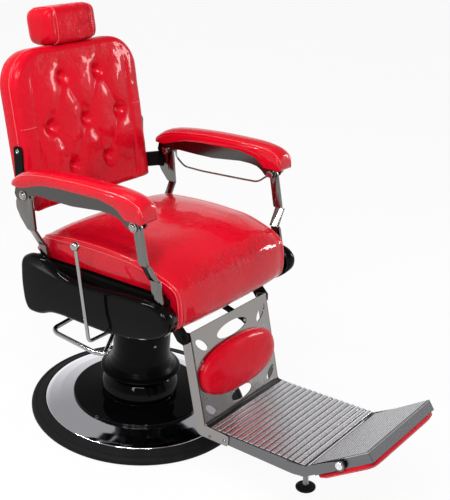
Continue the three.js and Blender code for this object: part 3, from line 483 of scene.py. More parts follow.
# The turn that lays an upright shape along each direction.
LAID = {"+X": (math.pi / 2, "Y"), "+Y": (-math.pi / 2, "X"), "-Y": (math.pi / 2, "X")}


def laid_along(bm, place, direction):
    """Lays an upright shape along a direction, then moves it."""
    angle, axis = LAID[direction]
    turn = Matrix.Rotation(angle, 4, axis)
    bmesh.ops.transform(bm, matrix=Matrix.Translation(place) @ turn, verts=bm.verts)
    return bm


def ball(radius, place, around, rows):
    bm = bmesh.new()
    bmesh.ops.create_uvsphere(bm, u_segments=around, v_segments=rows, radius=radius,
                              matrix=Matrix.Translation(place))
    return bm


def screw_head(radius, height):
    """A domed screw head with a round socket, pointing up."""
    return turned([
        (0, height * 0.4), (radius * 0.4, height * 0.4), (radius * 0.46, height),
        (radius * 0.8, height * 0.86), (radius, height * 0.25), (radius, -1), (0, -1)], radius * 0.16, 24)


def bent_rod(points, radius, bend):
    """A round rod along a line whose corners are bent to a radius."""
    path = rounded_line(points, bend, steps=8)
    curve = bpy.data.curves.new("rod", "CURVE")
    curve.dimensions = "3D"
    curve.bevel_depth = radius
    curve.bevel_resolution = 10
    curve.use_fill_caps = True
    spline = curve.splines.new("POLY")
    spline.points.add(len(path) - 1)
    for point, place in zip(spline.points, path):
        point.co = (*place, 1)
    holder = bpy.data.objects.new("rod", curve)
    mesh = bpy.data.meshes.new_from_object(holder)
    bm = bmesh.new()
    bm.from_mesh(mesh)
    bpy.data.objects.remove(holder)
    bpy.data.curves.remove(curve)
    bpy.data.meshes.remove(mesh)
    return bm


# How a plate that is drawn across x is stood across each axis.
ACROSS = {
    "X": ((1, 0, 0), (0, 1, 0), (0, 0, 1)),
    "Y": ((0, 1, 0), (1, 0, 0), (0, 0, 1)),
    "Z": ((0, 1, 0), (0, 0, 1), (1, 0, 0)),
}


def slab(outline, low, high, holes=(), axis="X"):
    """A flat plate cut to an outline, with holes, which reaches from low to high along an axis."""
    bm = bmesh.new()
    edges = []
    for loop in [outline, *holes]:
        verts = [bm.verts.new((0, *point)) for point in loop]
        edges += [bm.edges.new(pair) for pair in zip(verts, verts[1:] + verts[:1])]
    bmesh.ops.triangle_fill(bm, use_beauty=True, edges=edges)
    grown = bmesh.ops.extrude_face_region(bm, geom=bm.faces[:])
    far = [item for item in grown["geom"] if isinstance(item, bmesh.types.BMVert)]
    bmesh.ops.translate(bm, vec=(high - low, 0, 0), verts=far)
    bmesh.ops.translate(bm, vec=(low, 0, 0), verts=bm.verts)
    bmesh.ops.transform(bm, matrix=Matrix(ACROSS[axis]).to_4x4(), verts=bm.verts)
    bmesh.ops.recalc_face_normals(bm, faces=bm.faces)
    return bm


# ------------------------------------------------------------------ padded shapes and stitches
ON_FACE = 0.999
STITCH_PITCH, STITCH_LENGTH, STITCH_THICK = 4.8, 3.3, 0.9
STITCH_LIFT = STITCH_THICK * 0.35
PATH_STEP = 2


def soft_block(cuts, place, swell=None, crowd=1.0):
    """A finely divided block whose points are placed by their shares a, b and c.

    The shares run from -1 to 1: a from right to left, b from front to rear and c from the under
    side to the top. The crowd draws the divisions together at the edges. The swell then moves each
    point out along its normal.
    """
    bm = bmesh.new()
    bmesh.ops.create_cube(bm, size=2)
    bmesh.ops.subdivide_edges(bm, edges=bm.edges, cuts=cuts, use_grid_fill=True)
    shares = {}
    for vert in bm.verts:
        shares[vert] = tuple(q + crowd * (math.sin(q * math.pi / 2) - q)
                             for q in (max(-1.0, min(1.0, q)) for q in vert.co))
        vert.co = Vector(place(*shares[vert]))
    bmesh.ops.recalc_face_normals(bm, faces=bm.faces)
    bm.normal_update()
    if swell:
        moves = [(vert, vert.normal * swell(*shares[vert], vert.co)) for vert in bm.verts]
        for vert, move in moves:
            vert.co += move
    return bm


def sew(name, surface, path, local, body):
    """A run of thread stitches laid on a surface along a path, all in the piece's own frame."""
    tree = BVHTree.FromBMesh(surface)
    points = [Vector(p) for p in path]
    steps = []
    for first, second in zip(points, points[1:]):
        count = max(1, round((second - first).length / PATH_STEP))
        steps += [first.lerp(second, i / count) for i in range(count)]
    steps.append(points[-1])
    bm = bmesh.new()
    travelled, last = STITCH_PITCH, steps[0]
    for here, onward in zip(steps, steps[1:]):
        travelled += (here - last).length
        last = here
        if travelled < STITCH_PITCH:
            continue
        travelled = 0.0
        found, normal, _, _ = tree.find_nearest(here)
        ahead = onward - here
        ahead -= normal * ahead.dot(normal)
        if ahead.length < 1e-6:
            continue
        ahead.normalize()
        turn = Matrix((ahead, normal.cross(ahead), normal)).transposed().to_4x4()
        bmesh.ops.create_uvsphere(
            bm, u_segments=6, v_segments=4, radius=1,
            matrix=Matrix.Translation(found + normal * STITCH_LIFT) @ turn
            @ Matrix.Diagonal((STITCH_LENGTH / 2, STITCH_THICK, STITCH_THICK, 1)))
    finish_piece(name, bm, THREAD, body, local=local, keep_normals=True)


# ------------------------------------------------------------------ seat cushion
# Each row holds y and z of the top, y and z of the under side, and half the width. The rows run
# from the rear edge over the top to the rolled front and its lower lip.
PAN_TOP = 105.6
SEAT_LINES = [
    (160, 176, 203, 112, 240), (100, 190, 140, PAN_TOP, 242), (20, 198, 40, PAN_TOP, 242),
    (-57, 200, -50, PAN_TOP, 242), (-130, 197, -125, PAN_TOP, 242), (-198, 191, -190, PAN_TOP, 242),
    (-267, 171, -245, PAN_TOP, 241), (-308, 150, -278, PAN_TOP, 237), (-335, 121, -290, 95, 233),
    (-343, 65, -291, 62, 230), (-337, 28, -290, 28, 228), (-312, 4, -289, 3, 226),
]
SEAT_THICK = 80
SEAT_SEAM_INSET = 6.5
SEAT_GUSSET = 0.84
SEAT_BEND = 0.64


def seat_place(a, b, c):
    """The top falls away to its sides, and the rear corners are drawn in."""
    share = (1 - b) / 2
    top_y, top_z, under_y, under_z, half = along(SEAT_LINES, share)
    rear = max(0.0, 1 - share / 0.09) ** 2
    half -= 20 * rear
    top_z -= 9 * rear
    lift = (c + 1) / 2
    fall = (24 - 10 * smooth_step(share, 0.5, 0.75)) * abs(a) ** 4.5 * lift
    rise_y, rise_z = top_y - under_y, top_z - under_z
    rise = math.hypot(rise_y, rise_z)
    return (a * half, under_y + rise_y * lift - rise_y / rise * fall,
            under_z + rise_z * lift - rise_z / rise * fall)


def seat_swell(a, b, c, spot):
    """A welt beside each seam, full side walls, and crinkles where the top turns over the front."""
    share = (1 - b) / 2
    half = along(SEAT_LINES, share)[4]
    on_top, on_side = c > ON_FACE, abs(a) > ON_FACE
    amount = 0.0
    if on_top or on_side:
        edge = (1 - abs(a)) * half if on_top else (1 - c) / 2 * SEAT_THICK
        amount += 2.6 * bell_curve(edge - 9, 8) - 3.2 * bell_curve(edge, 2.6)
    if on_side:
        amount += 3.5 * (1 - c * c) - 2.0
    if on_top:
        bend = bell_curve(share - SEAT_BEND, 0.075)
        crinkle = rumple(spot.x * 0.075, share * 9, 3.1)
        fine = rumple(spot.x * 0.16, share * 16, 8.2)
        amount += bend * (0.9 * crinkle + 0.55 * fine) * (1 - abs(a) ** 6)
        slack = rumple(spot.x * 0.012, spot.y * 0.012, 5.0)
        ripple = rumple(spot.x * 0.035 + slack, spot.y * 0.05, 1.0)
        amount += (1.2 * slack + 0.6 * ripple) * (1 - abs(a) ** 4)
    return amount


def make_seat_cushion():
    surface = soft_block(72, seat_place, seat_swell)
    for label, side in SIDES.items():
        top, gusset = [], []
        for share in spread(0.02, 0.95, 60):
            half = along(SEAT_LINES, share)[4]
            b = 1 - 2 * share
            top.append(seat_place(side * (1 - SEAT_SEAM_INSET / half), b, 1))
            gusset.append(seat_place(side, b, SEAT_GUSSET))
        sew(f"seat_top_stitch_{label}", surface, top, SEAT, "seat")
        sew(f"seat_gusset_stitch_{label}", surface, gusset, SEAT, "seat")
    piece = finish_piece("seat_cushion_cover", surface, SEAT_VINYL, "seat",
                         ["seat_cushion"], crease=60, local=SEAT)


# ------------------------------------------------------------------ back cushion
BACK_HALF, BACK_HIGH, BACK_DEEP = 238, 436, 62
BACK_CORNER, BACK_LOW_CORNER = 100, 26
BACK_EDGE = 20
BACK_CREASE = 181
BACK_SEAM = -0.62
BUTTONS = [(-68, 348.9), (68, 348.9), (-133.5, 220.7), (0, 220.7), (133.5, 220.7), (-68, 97.6), (68, 97.6)]
BUTTON_RADIUS, BUTTON_DOME, BUTTON_REAR, BUTTON_PROUD = 11.5, 5.5, 2.0, 1.5
# Folds run from button to button, and from the outer buttons to points near the edge, where they fade.
LINKS = [(0, 2), (0, 3), (1, 3), (1, 4), (2, 5), (3, 5), (3, 6), (4, 6)]
LOOSE_ENDS = [
    (0, (-78, 430)), (1, (74, 430)), (4, (176, 226)), (2, (-170, 226)), (5, (-74, 50)), (6, (74, 50)),
]
FOLDS = [(BUTTONS[i], BUTTONS[j]) for i, j in LINKS] + [(BUTTONS[i], end) for i, end in LOOSE_ENDS]


def distance_to_line(x, u, line):
    """How far a point lies from a line, and the share of the line at which it is nearest."""
    (ax, au), (bx, bu) = line
    dx, du = bx - ax, bu - au
    share = max(0.0, min(1.0, ((x - ax) * dx + (u - au) * du) / (dx * dx + du * du)))
    return math.hypot(x - ax - share * dx, u - au - share * du), share


def back_outline(a, c):
    """The rectangle of the back, drawn in to its large upper and small lower corners."""
    x, u = a * BACK_HALF, BACK_HIGH * (c + 1) / 2
    for upper, radius in ((True, BACK_CORNER), (False, BACK_LOW_CORNER)):
        s = (abs(x) - (BACK_HALF - radius)) / radius
        t = (u - (BACK_HIGH - radius)) / radius if upper else (radius - u) / radius
        if s > 0 and t > 0:
            x = math.copysign(BACK_HALF - radius + radius * s * math.sqrt(1 - t * t / 2), x)
            reach = radius * t * math.sqrt(1 - s * s / 2)
            u = BACK_HIGH - radius + reach if upper else radius - reach
    return x, u


def back_edge(x, u):
    """How far a point of the face lies inside the rounded outline."""
    cx, cu = BACK_HALF - BACK_CORNER, BACK_HIGH - BACK_CORNER
    if abs(x) > cx and u > cu:
        return BACK_CORNER - math.hypot(abs(x) - cx, u - cu)
    return min(BACK_HALF - abs(x), BACK_HIGH - u, u)


def back_face(x, u):
    """How far the padding stands out: pulled in at the buttons, the folds and the side creases."""
    height = 5 + 10 * smooth_step(back_edge(x, u), 0, 120)
    nearest = min(math.hypot(x - bx, u - bu) for bx, bu in BUTTONS)
    height -= 13 * bell_curve(nearest, 17) + 5 * bell_curve(nearest, 46)
    for line in FOLDS:
        distance, share = distance_to_line(x, u, line)
        strong = 1.0 if line[1] in BUTTONS else 1 - share
        height -= strong * (3.0 * bell_curve(distance, 16) + 1.6 * bell_curve(distance, 3.0))
    crease = bell_curve(abs(x) - BACK_CREASE, 5) * (1 - smooth_step(u, 320, 390)) * smooth_step(u, 0, 30)
    bolster = bell_curve(abs(x) - BACK_CREASE - 24, 18) * (1 - smooth_step(u, 330, 400))
    return height - 4.5 * crease + 2.2 * bolster


def back_place(a, b, c):
    """The face is rounded over where it meets the side walls."""
    x, u = back_outline(a, c)
    front = (1 - b) / 2
    edge = max(0.0, back_edge(x, u))
    drop = 0.0
    if edge < BACK_EDGE:
        drop = BACK_EDGE - math.sqrt(max(0.0, BACK_EDGE ** 2 - (BACK_EDGE - edge) ** 2))
    face = back_face(x, u) - drop * 0.8
    return (x, BACK_DEEP - front * (BACK_DEEP + face), u)


def back_swell(a, b, c, spot):
    if b < -ON_FACE:
        slack = rumple(spot.x * 0.02, spot.z * 0.02, 2.0)
        return 0.9 * slack + 0.5 * rumple(spot.x * 0.06, spot.z * 0.045, 4.0 + slack)
    if abs(a) > ON_FACE or abs(c) > ON_FACE:
        return 3.2 * (1 - b * b) - 1.5 - 2.2 * bell_curve((b + 1) / 2 * BACK_DEEP - 3, 2.2)
    return 0.0


def make_back_cushion():
    surface = soft_block(116, back_place, back_swell, crowd=0.35)
    for label, side in SIDES.items():
        line = [back_place(side, BACK_SEAM, c) for c in spread(-0.93, 1, 60)]
        line += [back_place(side * a, BACK_SEAM, 1) for a in spread(1, 0, 31)[:-1]]
        sew(f"back_side_stitch_{label}", surface, line, BACK, "back")
        short = [back_place(side * a, -1, 0.06) for a in spread(0.985, 0.785, 10)]
        sew(f"back_cross_stitch_{label}", surface, short, BACK, "back")
    piece = finish_piece("back_cushion_cover", surface, VINYL, "back",
                         ["back_cushion"], crease=60, local=BACK)


def make_buttons():
    """Covered buttons, domed to the front and flatter behind, sunk in the padding."""
    for i, (x, u) in enumerate(BUTTONS, 1):
        button = ball(1, (0, 0, 0), 32, 16)
        face = -back_face(x, u) - BUTTON_PROUD
        for vert in button.verts:
            deep = BUTTON_DOME if vert.co.y < 0 else BUTTON_REAR
            radial = math.hypot(vert.co.x, vert.co.z)
            vert.co = Vector((x + vert.co.x * BUTTON_RADIUS, face + vert.co.y * deep - 0.5 * radial,
                              u + vert.co.z * BUTTON_RADIUS))
        finish_piece(f"button_{i}", button, VINYL, "back", [f"back_button_{i}"],
                     crease=60, local=BACK)


# ------------------------------------------------------------------ head block
HEAD_HALF_X, HEAD_HALF_Y, HEAD_HALF_Z = 94, 56, 53
HEAD_Y, HEAD_Z = 40, 489.5
HEAD_SQUARE = 4.6
HEAD_SEAM = 72
HEAD_STITCH = HEAD_SEAM - 4.5


def head_place(a, b, c):
    p, q, r = softened(a, b, c, HEAD_SQUARE)
    return (p * HEAD_HALF_X, HEAD_Y + q * HEAD_HALF_Y, HEAD_Z + r * HEAD_HALF_Z)


def head_swell(a, b, c, spot):
    """A seam and its welt near each end, with creases that gather at the seam."""
    seam = abs(abs(spot.x) - HEAD_SEAM)
    amount = -2.4 * bell_curve(seam, 2.4) + 1.6 * bell_curve(seam - 8, 6)
    amount += 1.2 * rumple(spot.x * 0.03, spot.y * 0.03, spot.z * 0.03)
    crease = rumple(spot.x * 0.05, spot.y * 0.09, spot.z * 0.05)
    return amount + 0.8 * crease * bell_curve(seam, 26)


def make_head_cushion():
    surface = soft_block(44, head_place, head_swell)
    for label, side in SIDES.items():
        ring = []
        for turn in spread(0, 2 * math.pi, 81):
            b, c = math.cos(turn), math.sin(turn)
            most = max(abs(b), abs(c))
            _, y, z = head_place(0, b / most, c / most)
            ring.append((side * HEAD_STITCH, y, z))
        sew(f"head_stitch_{label}", surface, ring, BACK, "headrest")
    piece = finish_piece("head_cushion_cover", surface, HEAD_VINYL, "headrest",
                         ["headrest_cushion"], crease=60, local=BACK)


# ------------------------------------------------------------------ arm pads
# Each row holds y and z of the top and y and z of the under side, from the front tip to the rear.
PAD_LINES = [
    (-289, 332, -285, 313), (-282, 356, -279, 312.6), (-262, 371, -270, 315), (-231, 379, -233, 315),
    (-196, 383, -203, 340), (-147, 384, -147, 351), (-67, 384, -67, 350), (3, 381.5, 3, 349),
    (60, 377.5, 62, 344), (110, 371, 104, 333), (150, 360, 142, 322), (184, 340, 178, 320),
]
PAD_X, PAD_HALF, PAD_TOP_HALF = 287.5, 30.5, 30
PAD_STITCH = 0.86


def arm_pad_place(a, b, c):
    share = (1 + b) / 2
    top_y, top_z, _, _ = along(PAD_LINES, share)
    _, _, under_y, under_z = straight_along(PAD_LINES, share)
    lift = (c + 1) / 2
    fall = 14 * abs(a) ** 3 * lift
    ends = 1 - 0.2 * (max(0.0, -b - 0.8) / 0.2) ** 2 - 0.16 * (max(0.0, b - 0.85) / 0.15) ** 2
    return (PAD_X + a * PAD_HALF * ends, under_y + (top_y - under_y) * lift,
            under_z + 0.3 + (top_z - under_z) * lift - fall)


def arm_pad_swell(a, b, c, spot):
    """A welt along the top's seams, and full sides and ends."""
    amount = 0.0
    if c > ON_FACE:
        edge = (1 - abs(a)) * PAD_TOP_HALF
        amount += 1.0 * bell_curve(edge - 5, 4) - 1.6 * bell_curve(edge, 1.6)
        amount += 0.35 * rumple(spot.x * 0.05, spot.y * 0.03, 7.0)
    if abs(a) > ON_FACE:
        amount += 1.6 * (1 - c * c) - 1.4 * bell_curve((1 - c) * 13, 1.6)
    if abs(b) > ON_FACE:
        amount += 2.5 * (1 - a * a) * (1 - c * c)
    return amount


def make_arm_pads():
    for label, side in SIDES.items():
        surface = handed(soft_block(56, arm_pad_place, arm_pad_swell), side)
        for i, edge in enumerate((-PAD_STITCH, PAD_STITCH)):
            line = [arm_pad_place(edge, b, 1) for b in spread(-0.9, 0.94, 80)]
            line = [(side * x, y, z) for x, y, z in line]
            sew(f"arm_stitch_{label}_{i}", surface, line, SEAT, f"arm_{label}")
        piece = finish_piece(f"arm_pad_cover_{label}", surface, PAD_VINYL, f"arm_{label}",
                             [f"arm_pad_{label}"], crease=60, local=SEAT)


# ------------------------------------------------------------------ calf pad and panel pad
CALF_LEN, CALF_HALF, SHEET = 265.5, 169, 3
FOOT_LEN, FOOT_HALF, FLIP_LEN, FLIP_HALF = 323.8, 165.7, 191, 157
CALF_PAD_HALF_X, CALF_PAD_HALF_Z, CALF_PAD_Z = 159.5, 70.6, 124.5
CALF_PAD_SQUARE, CALF_PAD_RIM, CALF_PAD_DOME = 2.4, 8, 24
PANEL_PAD_TOP, PANEL_PAD_DEEP, PANEL_PAD_SQUARE = -29.3, 17, 12


def calf_pad_place(a, b, c):
    p, _, r = softened(a, 0, c, CALF_PAD_SQUARE)
    front = (1 - b) / 2
    dome = CALF_PAD_RIM + CALF_PAD_DOME * math.sqrt(max(0.0, 1 - max(abs(a), abs(c)) ** 3.2))
    return (p * CALF_PAD_HALF_X, -0.4 - front * dome, CALF_PAD_Z - CALF_LEN + r * CALF_PAD_HALF_Z)


def calf_pad_swell(a, b, c, spot):
    if b < -ON_FACE:
        slack = rumple(spot.x * 0.03, spot.z * 0.04, 2.0)
        return 0.8 * slack + 0.3 * rumple(spot.x * 0.09, spot.z * 0.11, 9.0)
    return 0.0


def panel_pad_place(a, b, c):
    """A thin pad under the panel, drawn in by a seam near its top and rounded below."""
    p, q, _ = softened(a, b, 0, PANEL_PAD_SQUARE)
    down = (1 - c) / 2
    inset = 2.5 * bell_curve(down, 0.14) + 7 * smooth_step(down, 0.45, 1.0) ** 1.6
    fall = 2.5 * down * max(abs(a), abs(b)) ** 4
    return (p * (FLIP_HALF + 1 - inset), -FLIP_LEN / 2 - 1 + q * (FLIP_LEN / 2 - 1 - inset),
            PANEL_PAD_TOP - PANEL_PAD_DEEP * down + fall)


def make_leg_pads():
    piece = finish_piece("calf_pad_cover", soft_block(52, calf_pad_place, calf_pad_swell), VINYL, "leg_rest",
                         ["calf_pad"], crease=50, local=CALF)
    piece = finish_piece("panel_pad_cover", soft_block(32, panel_pad_place), VINYL, "flip_panel",
                         ["flip_pad"], crease=50, local=FLIP)


# ------------------------------------------------------------------ base and column
# Half sections of the turned pieces, as the radius and the height above the floor.
RIM = [
    (283.3, 0.4), (320, 0.4), (325, 5), (325, 14), (320.5, 20.5), (312, 24), (309, 22.6), (305.5, 24.6),
    (289, 30.6), (284.5, 31.6), (283.3, 29),
]
DISH_SECTION = [
    (282.7, 9), (282.7, 30.5), (270.7, 34), (240, 39.4), (200, 43.9), (66.5, 46.1), (66.5, 43.2),
    (200, 41), (240, 36.5), (270.7, 30.5), (278.7, 9),
]
COLLAR = [
    (63, 46.9), (200, 44.6), (200, 50.8), (196.4, 53.2), (107, 57.8), (113.5, 65), (118.6, 77),
    (113, 95), (98, 116), (82, 130), (63, 132),
]
TUBE = [
    (0, 8.4), (62, 8.4), (62, 300), (57, 300), (57, 16), (34, 16), (34, 300), (28.6, 300), (28.6, 18),
    (0, 18),
]
BELL = [
    (28.5, 383.7), (85, 383.7), (85, 200), (87.5, 176), (95, 157.5), (107, 145), (118.8, 140.2),
    (120, 137.2), (116.6, 136.2), (104.5, 142), (91.6, 155), (84, 175), (81.8, 200), (81.8, 372.9),
    (28.5, 372.9),
]
PISTON = [(0, 24), (28, 24), (28, 383.5), (20, 383.5), (20, 430), (0, 430)]
BEARING = rectangle(20.4, 384, 60, 391.7)
SCREW_PLACE, SCREW_TURN = (0, -84.6, 242), -0.37


def make_base():
    finish_piece("rim_ring", turned(RIM, 3.5, 160), RUBBER, "base", ["base_rim"], crease=50)
    finish_piece("dish", turned(DISH_SECTION, 3, 160), DISH, "base", ["base_cover"], crease=50)
    finish_piece("pump_collar", turned(COLLAR, 5.5, 144), BLACK_GLOSS, "base",
                 ["pump_cover"], crease=50)
    finish_piece("pump_tube", turned(TUBE, 0.8, 72), STEEL, "base", ["pump_cylinder"])


def make_column():
    finish_piece("bell", turned(BELL, 3.5, 128), BELL_BLACK, "column", ["column_bell"],
                 crease=45)
    finish_piece("piston", turned(PISTON, 1.5, 64), CHROME, "column", ["ram"])
    finish_piece("bearing_ring", turned(BEARING, 1.2, 72), STEEL, "column", ["swivel_bearing"])
    screw = laid_along(screw_head(4.2, 2.4), SCREW_PLACE, "-Y")
    bmesh.ops.rotate(screw, cent=(0, 0, 0), matrix=Matrix.Rotation(SCREW_TURN, 3, "Z"), verts=screw.verts)
    finish_piece("column_screw", screw, STEEL, "column")


# ------------------------------------------------------------------ levers
PUMP_X, PUMP_Z = -100, 400
PUMP_EYES = (-41, 33)
PUMP_ROD, PUMP_BEND = 6.5, 22
PUMP_LOOP = [
    (-114, -41, 396), (-130, -42, 391), (-285, -121, 343), (-296, -100, 340), (-296, 55, 340),
    (-285, 74, 343), (-130, 34, 391), (-114, 33, 396),
]
HUB_Y, HUB_Z = -101.3, -47.5
HUB = rectangle(0, 0, 9, 6)
STICK_X, STICK_ROD, STICK_BEND = -331, 5, 14
KNOB_Y, KNOB_Z, KNOB_RADIUS = -69.5, 213, 12
# Half sections of the lever's eyes and of its pin, as the radius and the distance along the pin.
PUMP_EYE = rectangle(8.3, -5, 15, 5)
PUMP_PIN = [(0, -54), (12, -54), (12, -48.4), (8, -48.4), (8, 40.4), (12, 40.4), (12, 46), (0, 46)]


def make_pump_lever():
    """A loop of rod with an eye at each end, and the pin through them."""
    eyes = [laid_along(turned(PUMP_EYE, 1.4, 48), (PUMP_X, y, PUMP_Z), "+Y") for y in PUMP_EYES]
    loop = joined(bent_rod(PUMP_LOOP, PUMP_ROD, PUMP_BEND), *eyes)
    finish_piece("pump_lever_loop", loop, CHROME, "pump_lever", ["pump_lever"])
    pin = laid_along(turned(PUMP_PIN, 1.2, 40), (PUMP_X, 0, PUMP_Z), "+Y")
    finish_piece("lever_pin", pin, STEEL, "seat", ["pump_lever_pin"])


def make_recline_lever():
    """A cranked rod on a hub, with a ball on its upper end."""
    hub = laid_along(turned(HUB, 0.8, 32), (-212, HUB_Y, HUB_Z), "+X")
    stick = [(-206, HUB_Y, HUB_Z), (STICK_X, HUB_Y, HUB_Z), (STICK_X, KNOB_Y, KNOB_Z - 3.3)]
    stick = bent_rod(stick, STICK_ROD, STICK_BEND)
    finish_piece("recline_lever_rod", joined(hub, stick), CHROME, "recline_lever",
                 ["recline_lever"], local=SEAT)
    knob = ball(KNOB_RADIUS, (STICK_X - 1.4, KNOB_Y, KNOB_Z), 40, 24)
    finish_piece("recline_knob_ball", knob, CHROME, "recline_lever", ["recline_knob"],
                 local=SEAT)


# ------------------------------------------------------------------ side covers
COVER_LINE = [
    (205, 88), (209, 30), (202, -30), (186, -58), (138, -58), (98, -40), (50, -36), (-27, -38), (-140, -38),
    (-229, -26), (-300, -4), (-334, 30), (-337, 60), (-316, 84), (-272, 95), (-220, 95), (-130, 87),
    (-50, 81), (10, 82), (60, 92), (92, 112), (122, 123), (168, 120), (196, 106),
]
COVER_INNER, COVER_SHOULDER, COVER_FACE = 244.6, 269, 289
COVER_ROUND_INSET, COVER_ROUND_DEEP = 15, 18
COVER_WALL, COVER_CORNER = 4, 40
FRAME_FRONT, FRAME_REAR = -306, 187
POST_FRONT, POST_FOOT = 180, 62


def drawn_in(line, inset):
    """A closed flat line moved inwards by a distance, point by point."""
    moved = []
    for i, here in enumerate(line):
        run = (line[(i + 1) % len(line)] - line[i - 1]).normalized()
        moved.append(here + Vector((run.y, -run.x)) * inset)
    return moved


def cover_opening(face):
    """Whether a face lies over the seat's frame or at the rear post, where the cover is open."""
    middle = face.calc_center_median()
    over_frame = face.normal.z > 0.3 and FRAME_FRONT < middle.y < FRAME_REAR
    at_post = middle.y > POST_FRONT and middle.z > POST_FOOT
    return middle.x < COVER_SHOULDER and (over_frame or at_post)


def cover_shell():
    """The skin of the left cover: a wall, a rounded edge and a flat outer face."""
    line = rounded_line(COVER_LINE, COVER_CORNER, closed=True, steps=6)
    rows = [(COVER_INNER, 0.0), (COVER_SHOULDER, 0.0)]
    for turn in spread(0, math.pi / 2, 9):
        rows.append((COVER_FACE - COVER_ROUND_DEEP * (1 - math.sin(turn)),
                     COVER_ROUND_INSET * (1 - math.cos(turn))))
    bm = bmesh.new()
    rings = [[bm.verts.new((x, *point)) for point in drawn_in(line, inset)] for x, inset in rows]
    for lower, upper in zip(rings, rings[1:]):
        loops = [bm.edges.get(pair) or bm.edges.new(pair) for ring in (lower, upper)
                 for pair in zip(ring, ring[1:] + ring[:1])]
        bmesh.ops.bridge_loops(bm, edges=loops)
    bmesh.ops.contextual_create(bm, geom=rings[-1])
    bmesh.ops.delete(bm, geom=[face for face in bm.faces if cover_opening(face)], context="FACES")
    bmesh.ops.recalc_face_normals(bm, faces=bm.faces)
    outer = [face for face in bm.faces if face.calc_center_median().x > COVER_FACE - 0.1]
    if sum(face.normal.x for face in outer) < 0:
        bmesh.ops.reverse_faces(bm, faces=bm.faces)
    return bm


def make_side_covers():
    for label, side in SIDES.items():
        piece = finish_piece(f"side_cover_shell_{label}", handed(cover_shell(), side), BLACK_GLOSS, "seat",
                             [f"side_cover_{label}"], crease=50, local=SEAT, keep_normals=True)
        wall = piece.modifiers.new("wall", "SOLIDIFY")
        wall.thickness = COVER_WALL / 1000
        wall.offset = -1


# ------------------------------------------------------------------ arms
PIVOT_Z = 297.3
ARM_PIVOTS = {"rear": (149.7, PIVOT_Z), "front": (-247.9, PIVOT_Z)}
# Half the section of a pivot bolt, as its radius and its distance from the middle of the chair.
PIVOT_BOLT = [
    (0, 263), (10, 263), (10, 270.7), (6, 270.7), (6, 305.4), (13, 305.4), (13, 307.2), (10.6, 307.6),
    (9.6, 311.4), (5, 314.2), (0, 314.8),
]


def make_bolts():
    for end, (y, z) in ARM_PIVOTS.items():
        for label, side in SIDES.items():
            bolt = laid_along(turned(PIVOT_BOLT, 0.9, 48), (0, y, z), "+X")
            finish_piece(f"pivot_bolt_{end}_{label}", handed(bolt, side), CHROME, f"arm_{label}",
                         [f"arm_bolt_{end}_{label}"], local=SEAT)


# The lower edge of the channel's flanges, from the rear to the front, as y and the height from the pivots.
CHANNEL_LINE = [
    (184, -1), (178, -12), (165, -17), (147, -15), (134, -3), (118, 6), (97, 10), (30, 8), (-35, 8),
    (-87, 13), (-137, 18), (-174, 17), (-198, 13), (-215, 3), (-226, -8), (-244, -13), (-258, -10), (-265, 3),
]
# The reach across x of each flange and of the web between them.
FLANGES, WEB = ((300, 305), (271, 276)), (275.8, 300.2)


def make_arm_channels():
    """A channel under each pad: two flanges and the web that joins them at the top."""
    top = [(-264, 314.4)] + [(y, z - 0.6) for _, _, y, z in PAD_LINES[3:]]
    flange = top + [(y, PIVOT_Z + z) for y, z in CHANNEL_LINE]
    web = top + [(y, z - 4.5) for y, z in reversed(top)]
    holes = [round_hole(pivot, 6.4) for pivot in ARM_PIVOTS.values()]
    for label, side in SIDES.items():
        bm = joined(*[slab(flange, *reach, holes) for reach in FLANGES], slab(web, *WEB))
        piece = finish_piece(f"arm_channel_cover_{label}", handed(bm, side), ARM_PLATE, f"arm_{label}",
                             [f"arm_channel_{label}"], crease=30, local=SEAT)
        ease_edges(piece, 0.9)


STRAP_INNER, STRAP_OUTER = 238.3, 243.5
STRAP_BOLTS = ((233, 389), (233, 300))
# The strap as seen from its side, and its foot as seen from above.
STRAP = rectangle(216, 246, 250, 403)
STRAP_FOOT = [
    (STRAP_OUTER, 219), (STRAP_OUTER, 250), (STRAP_INNER, 250), (STRAP_INNER, 214), (278, 188), (279, 172),
    (283.7, 172), (283.7, 194),
]
STRAP_FOOT_REACH = (240, 285)


def make_back_brackets():
    """An upright strap on each side of the back, with a cranked foot that reaches the rear post."""
    strap = rounded_line(STRAP, 13, closed=True)
    for label, side in SIDES.items():
        bm = joined(slab(strap, STRAP_INNER, STRAP_OUTER), slab(STRAP_FOOT, *STRAP_FOOT_REACH, axis="Z"))
        bracket = f"back_bracket_{label}"
        piece = finish_piece(f"back_strap_{label}", handed(bm, side), BLACK_SATIN, BODY_OF[bracket],
                             [bracket], crease=30, local=SEAT)
        ease_edges(piece, 0.8)


def make_strap_bolts():
    for label, side in SIDES.items():
        for y, z in STRAP_BOLTS:
            head = laid_along(screw_head(6.5, 3.4), (STRAP_OUTER - 0.3, y, z), "+X")
            finish_piece(f"strap_bolt_{label}_{z}", handed(head, side), CHROME, "back", local=SEAT)


RAIL_X, RAIL_ROD, RAIL_BEND = 321, 3, 16
RAIL_DISC = rectangle(0, 315.3, 9, 323)


def make_towel_rail():
    """A rail hung from the left arm's pivots, with a disc at each end."""
    (rear_y, _), (front_y, _) = ARM_PIVOTS.values()
    path = [(rear_y, 0), (rear_y + 2, -30), (117.5, -57), (49, -59), (-105.6, -54.5), (-166.9, -51.9),
            (-200.2, -26.7), (-240.7, -12), (front_y, 0)]
    rod = bent_rod([(RAIL_X, y, PIVOT_Z + z) for y, z in path], RAIL_ROD, RAIL_BEND)
    discs = [laid_along(turned(RAIL_DISC, 1, 40), (0, y, z), "+X") for y, z in ARM_PIVOTS.values()]
    finish_piece("towel_rail_rod", joined(rod, *discs), CHROME, "arm_left", ["towel_rail"],
                 local=SEAT)


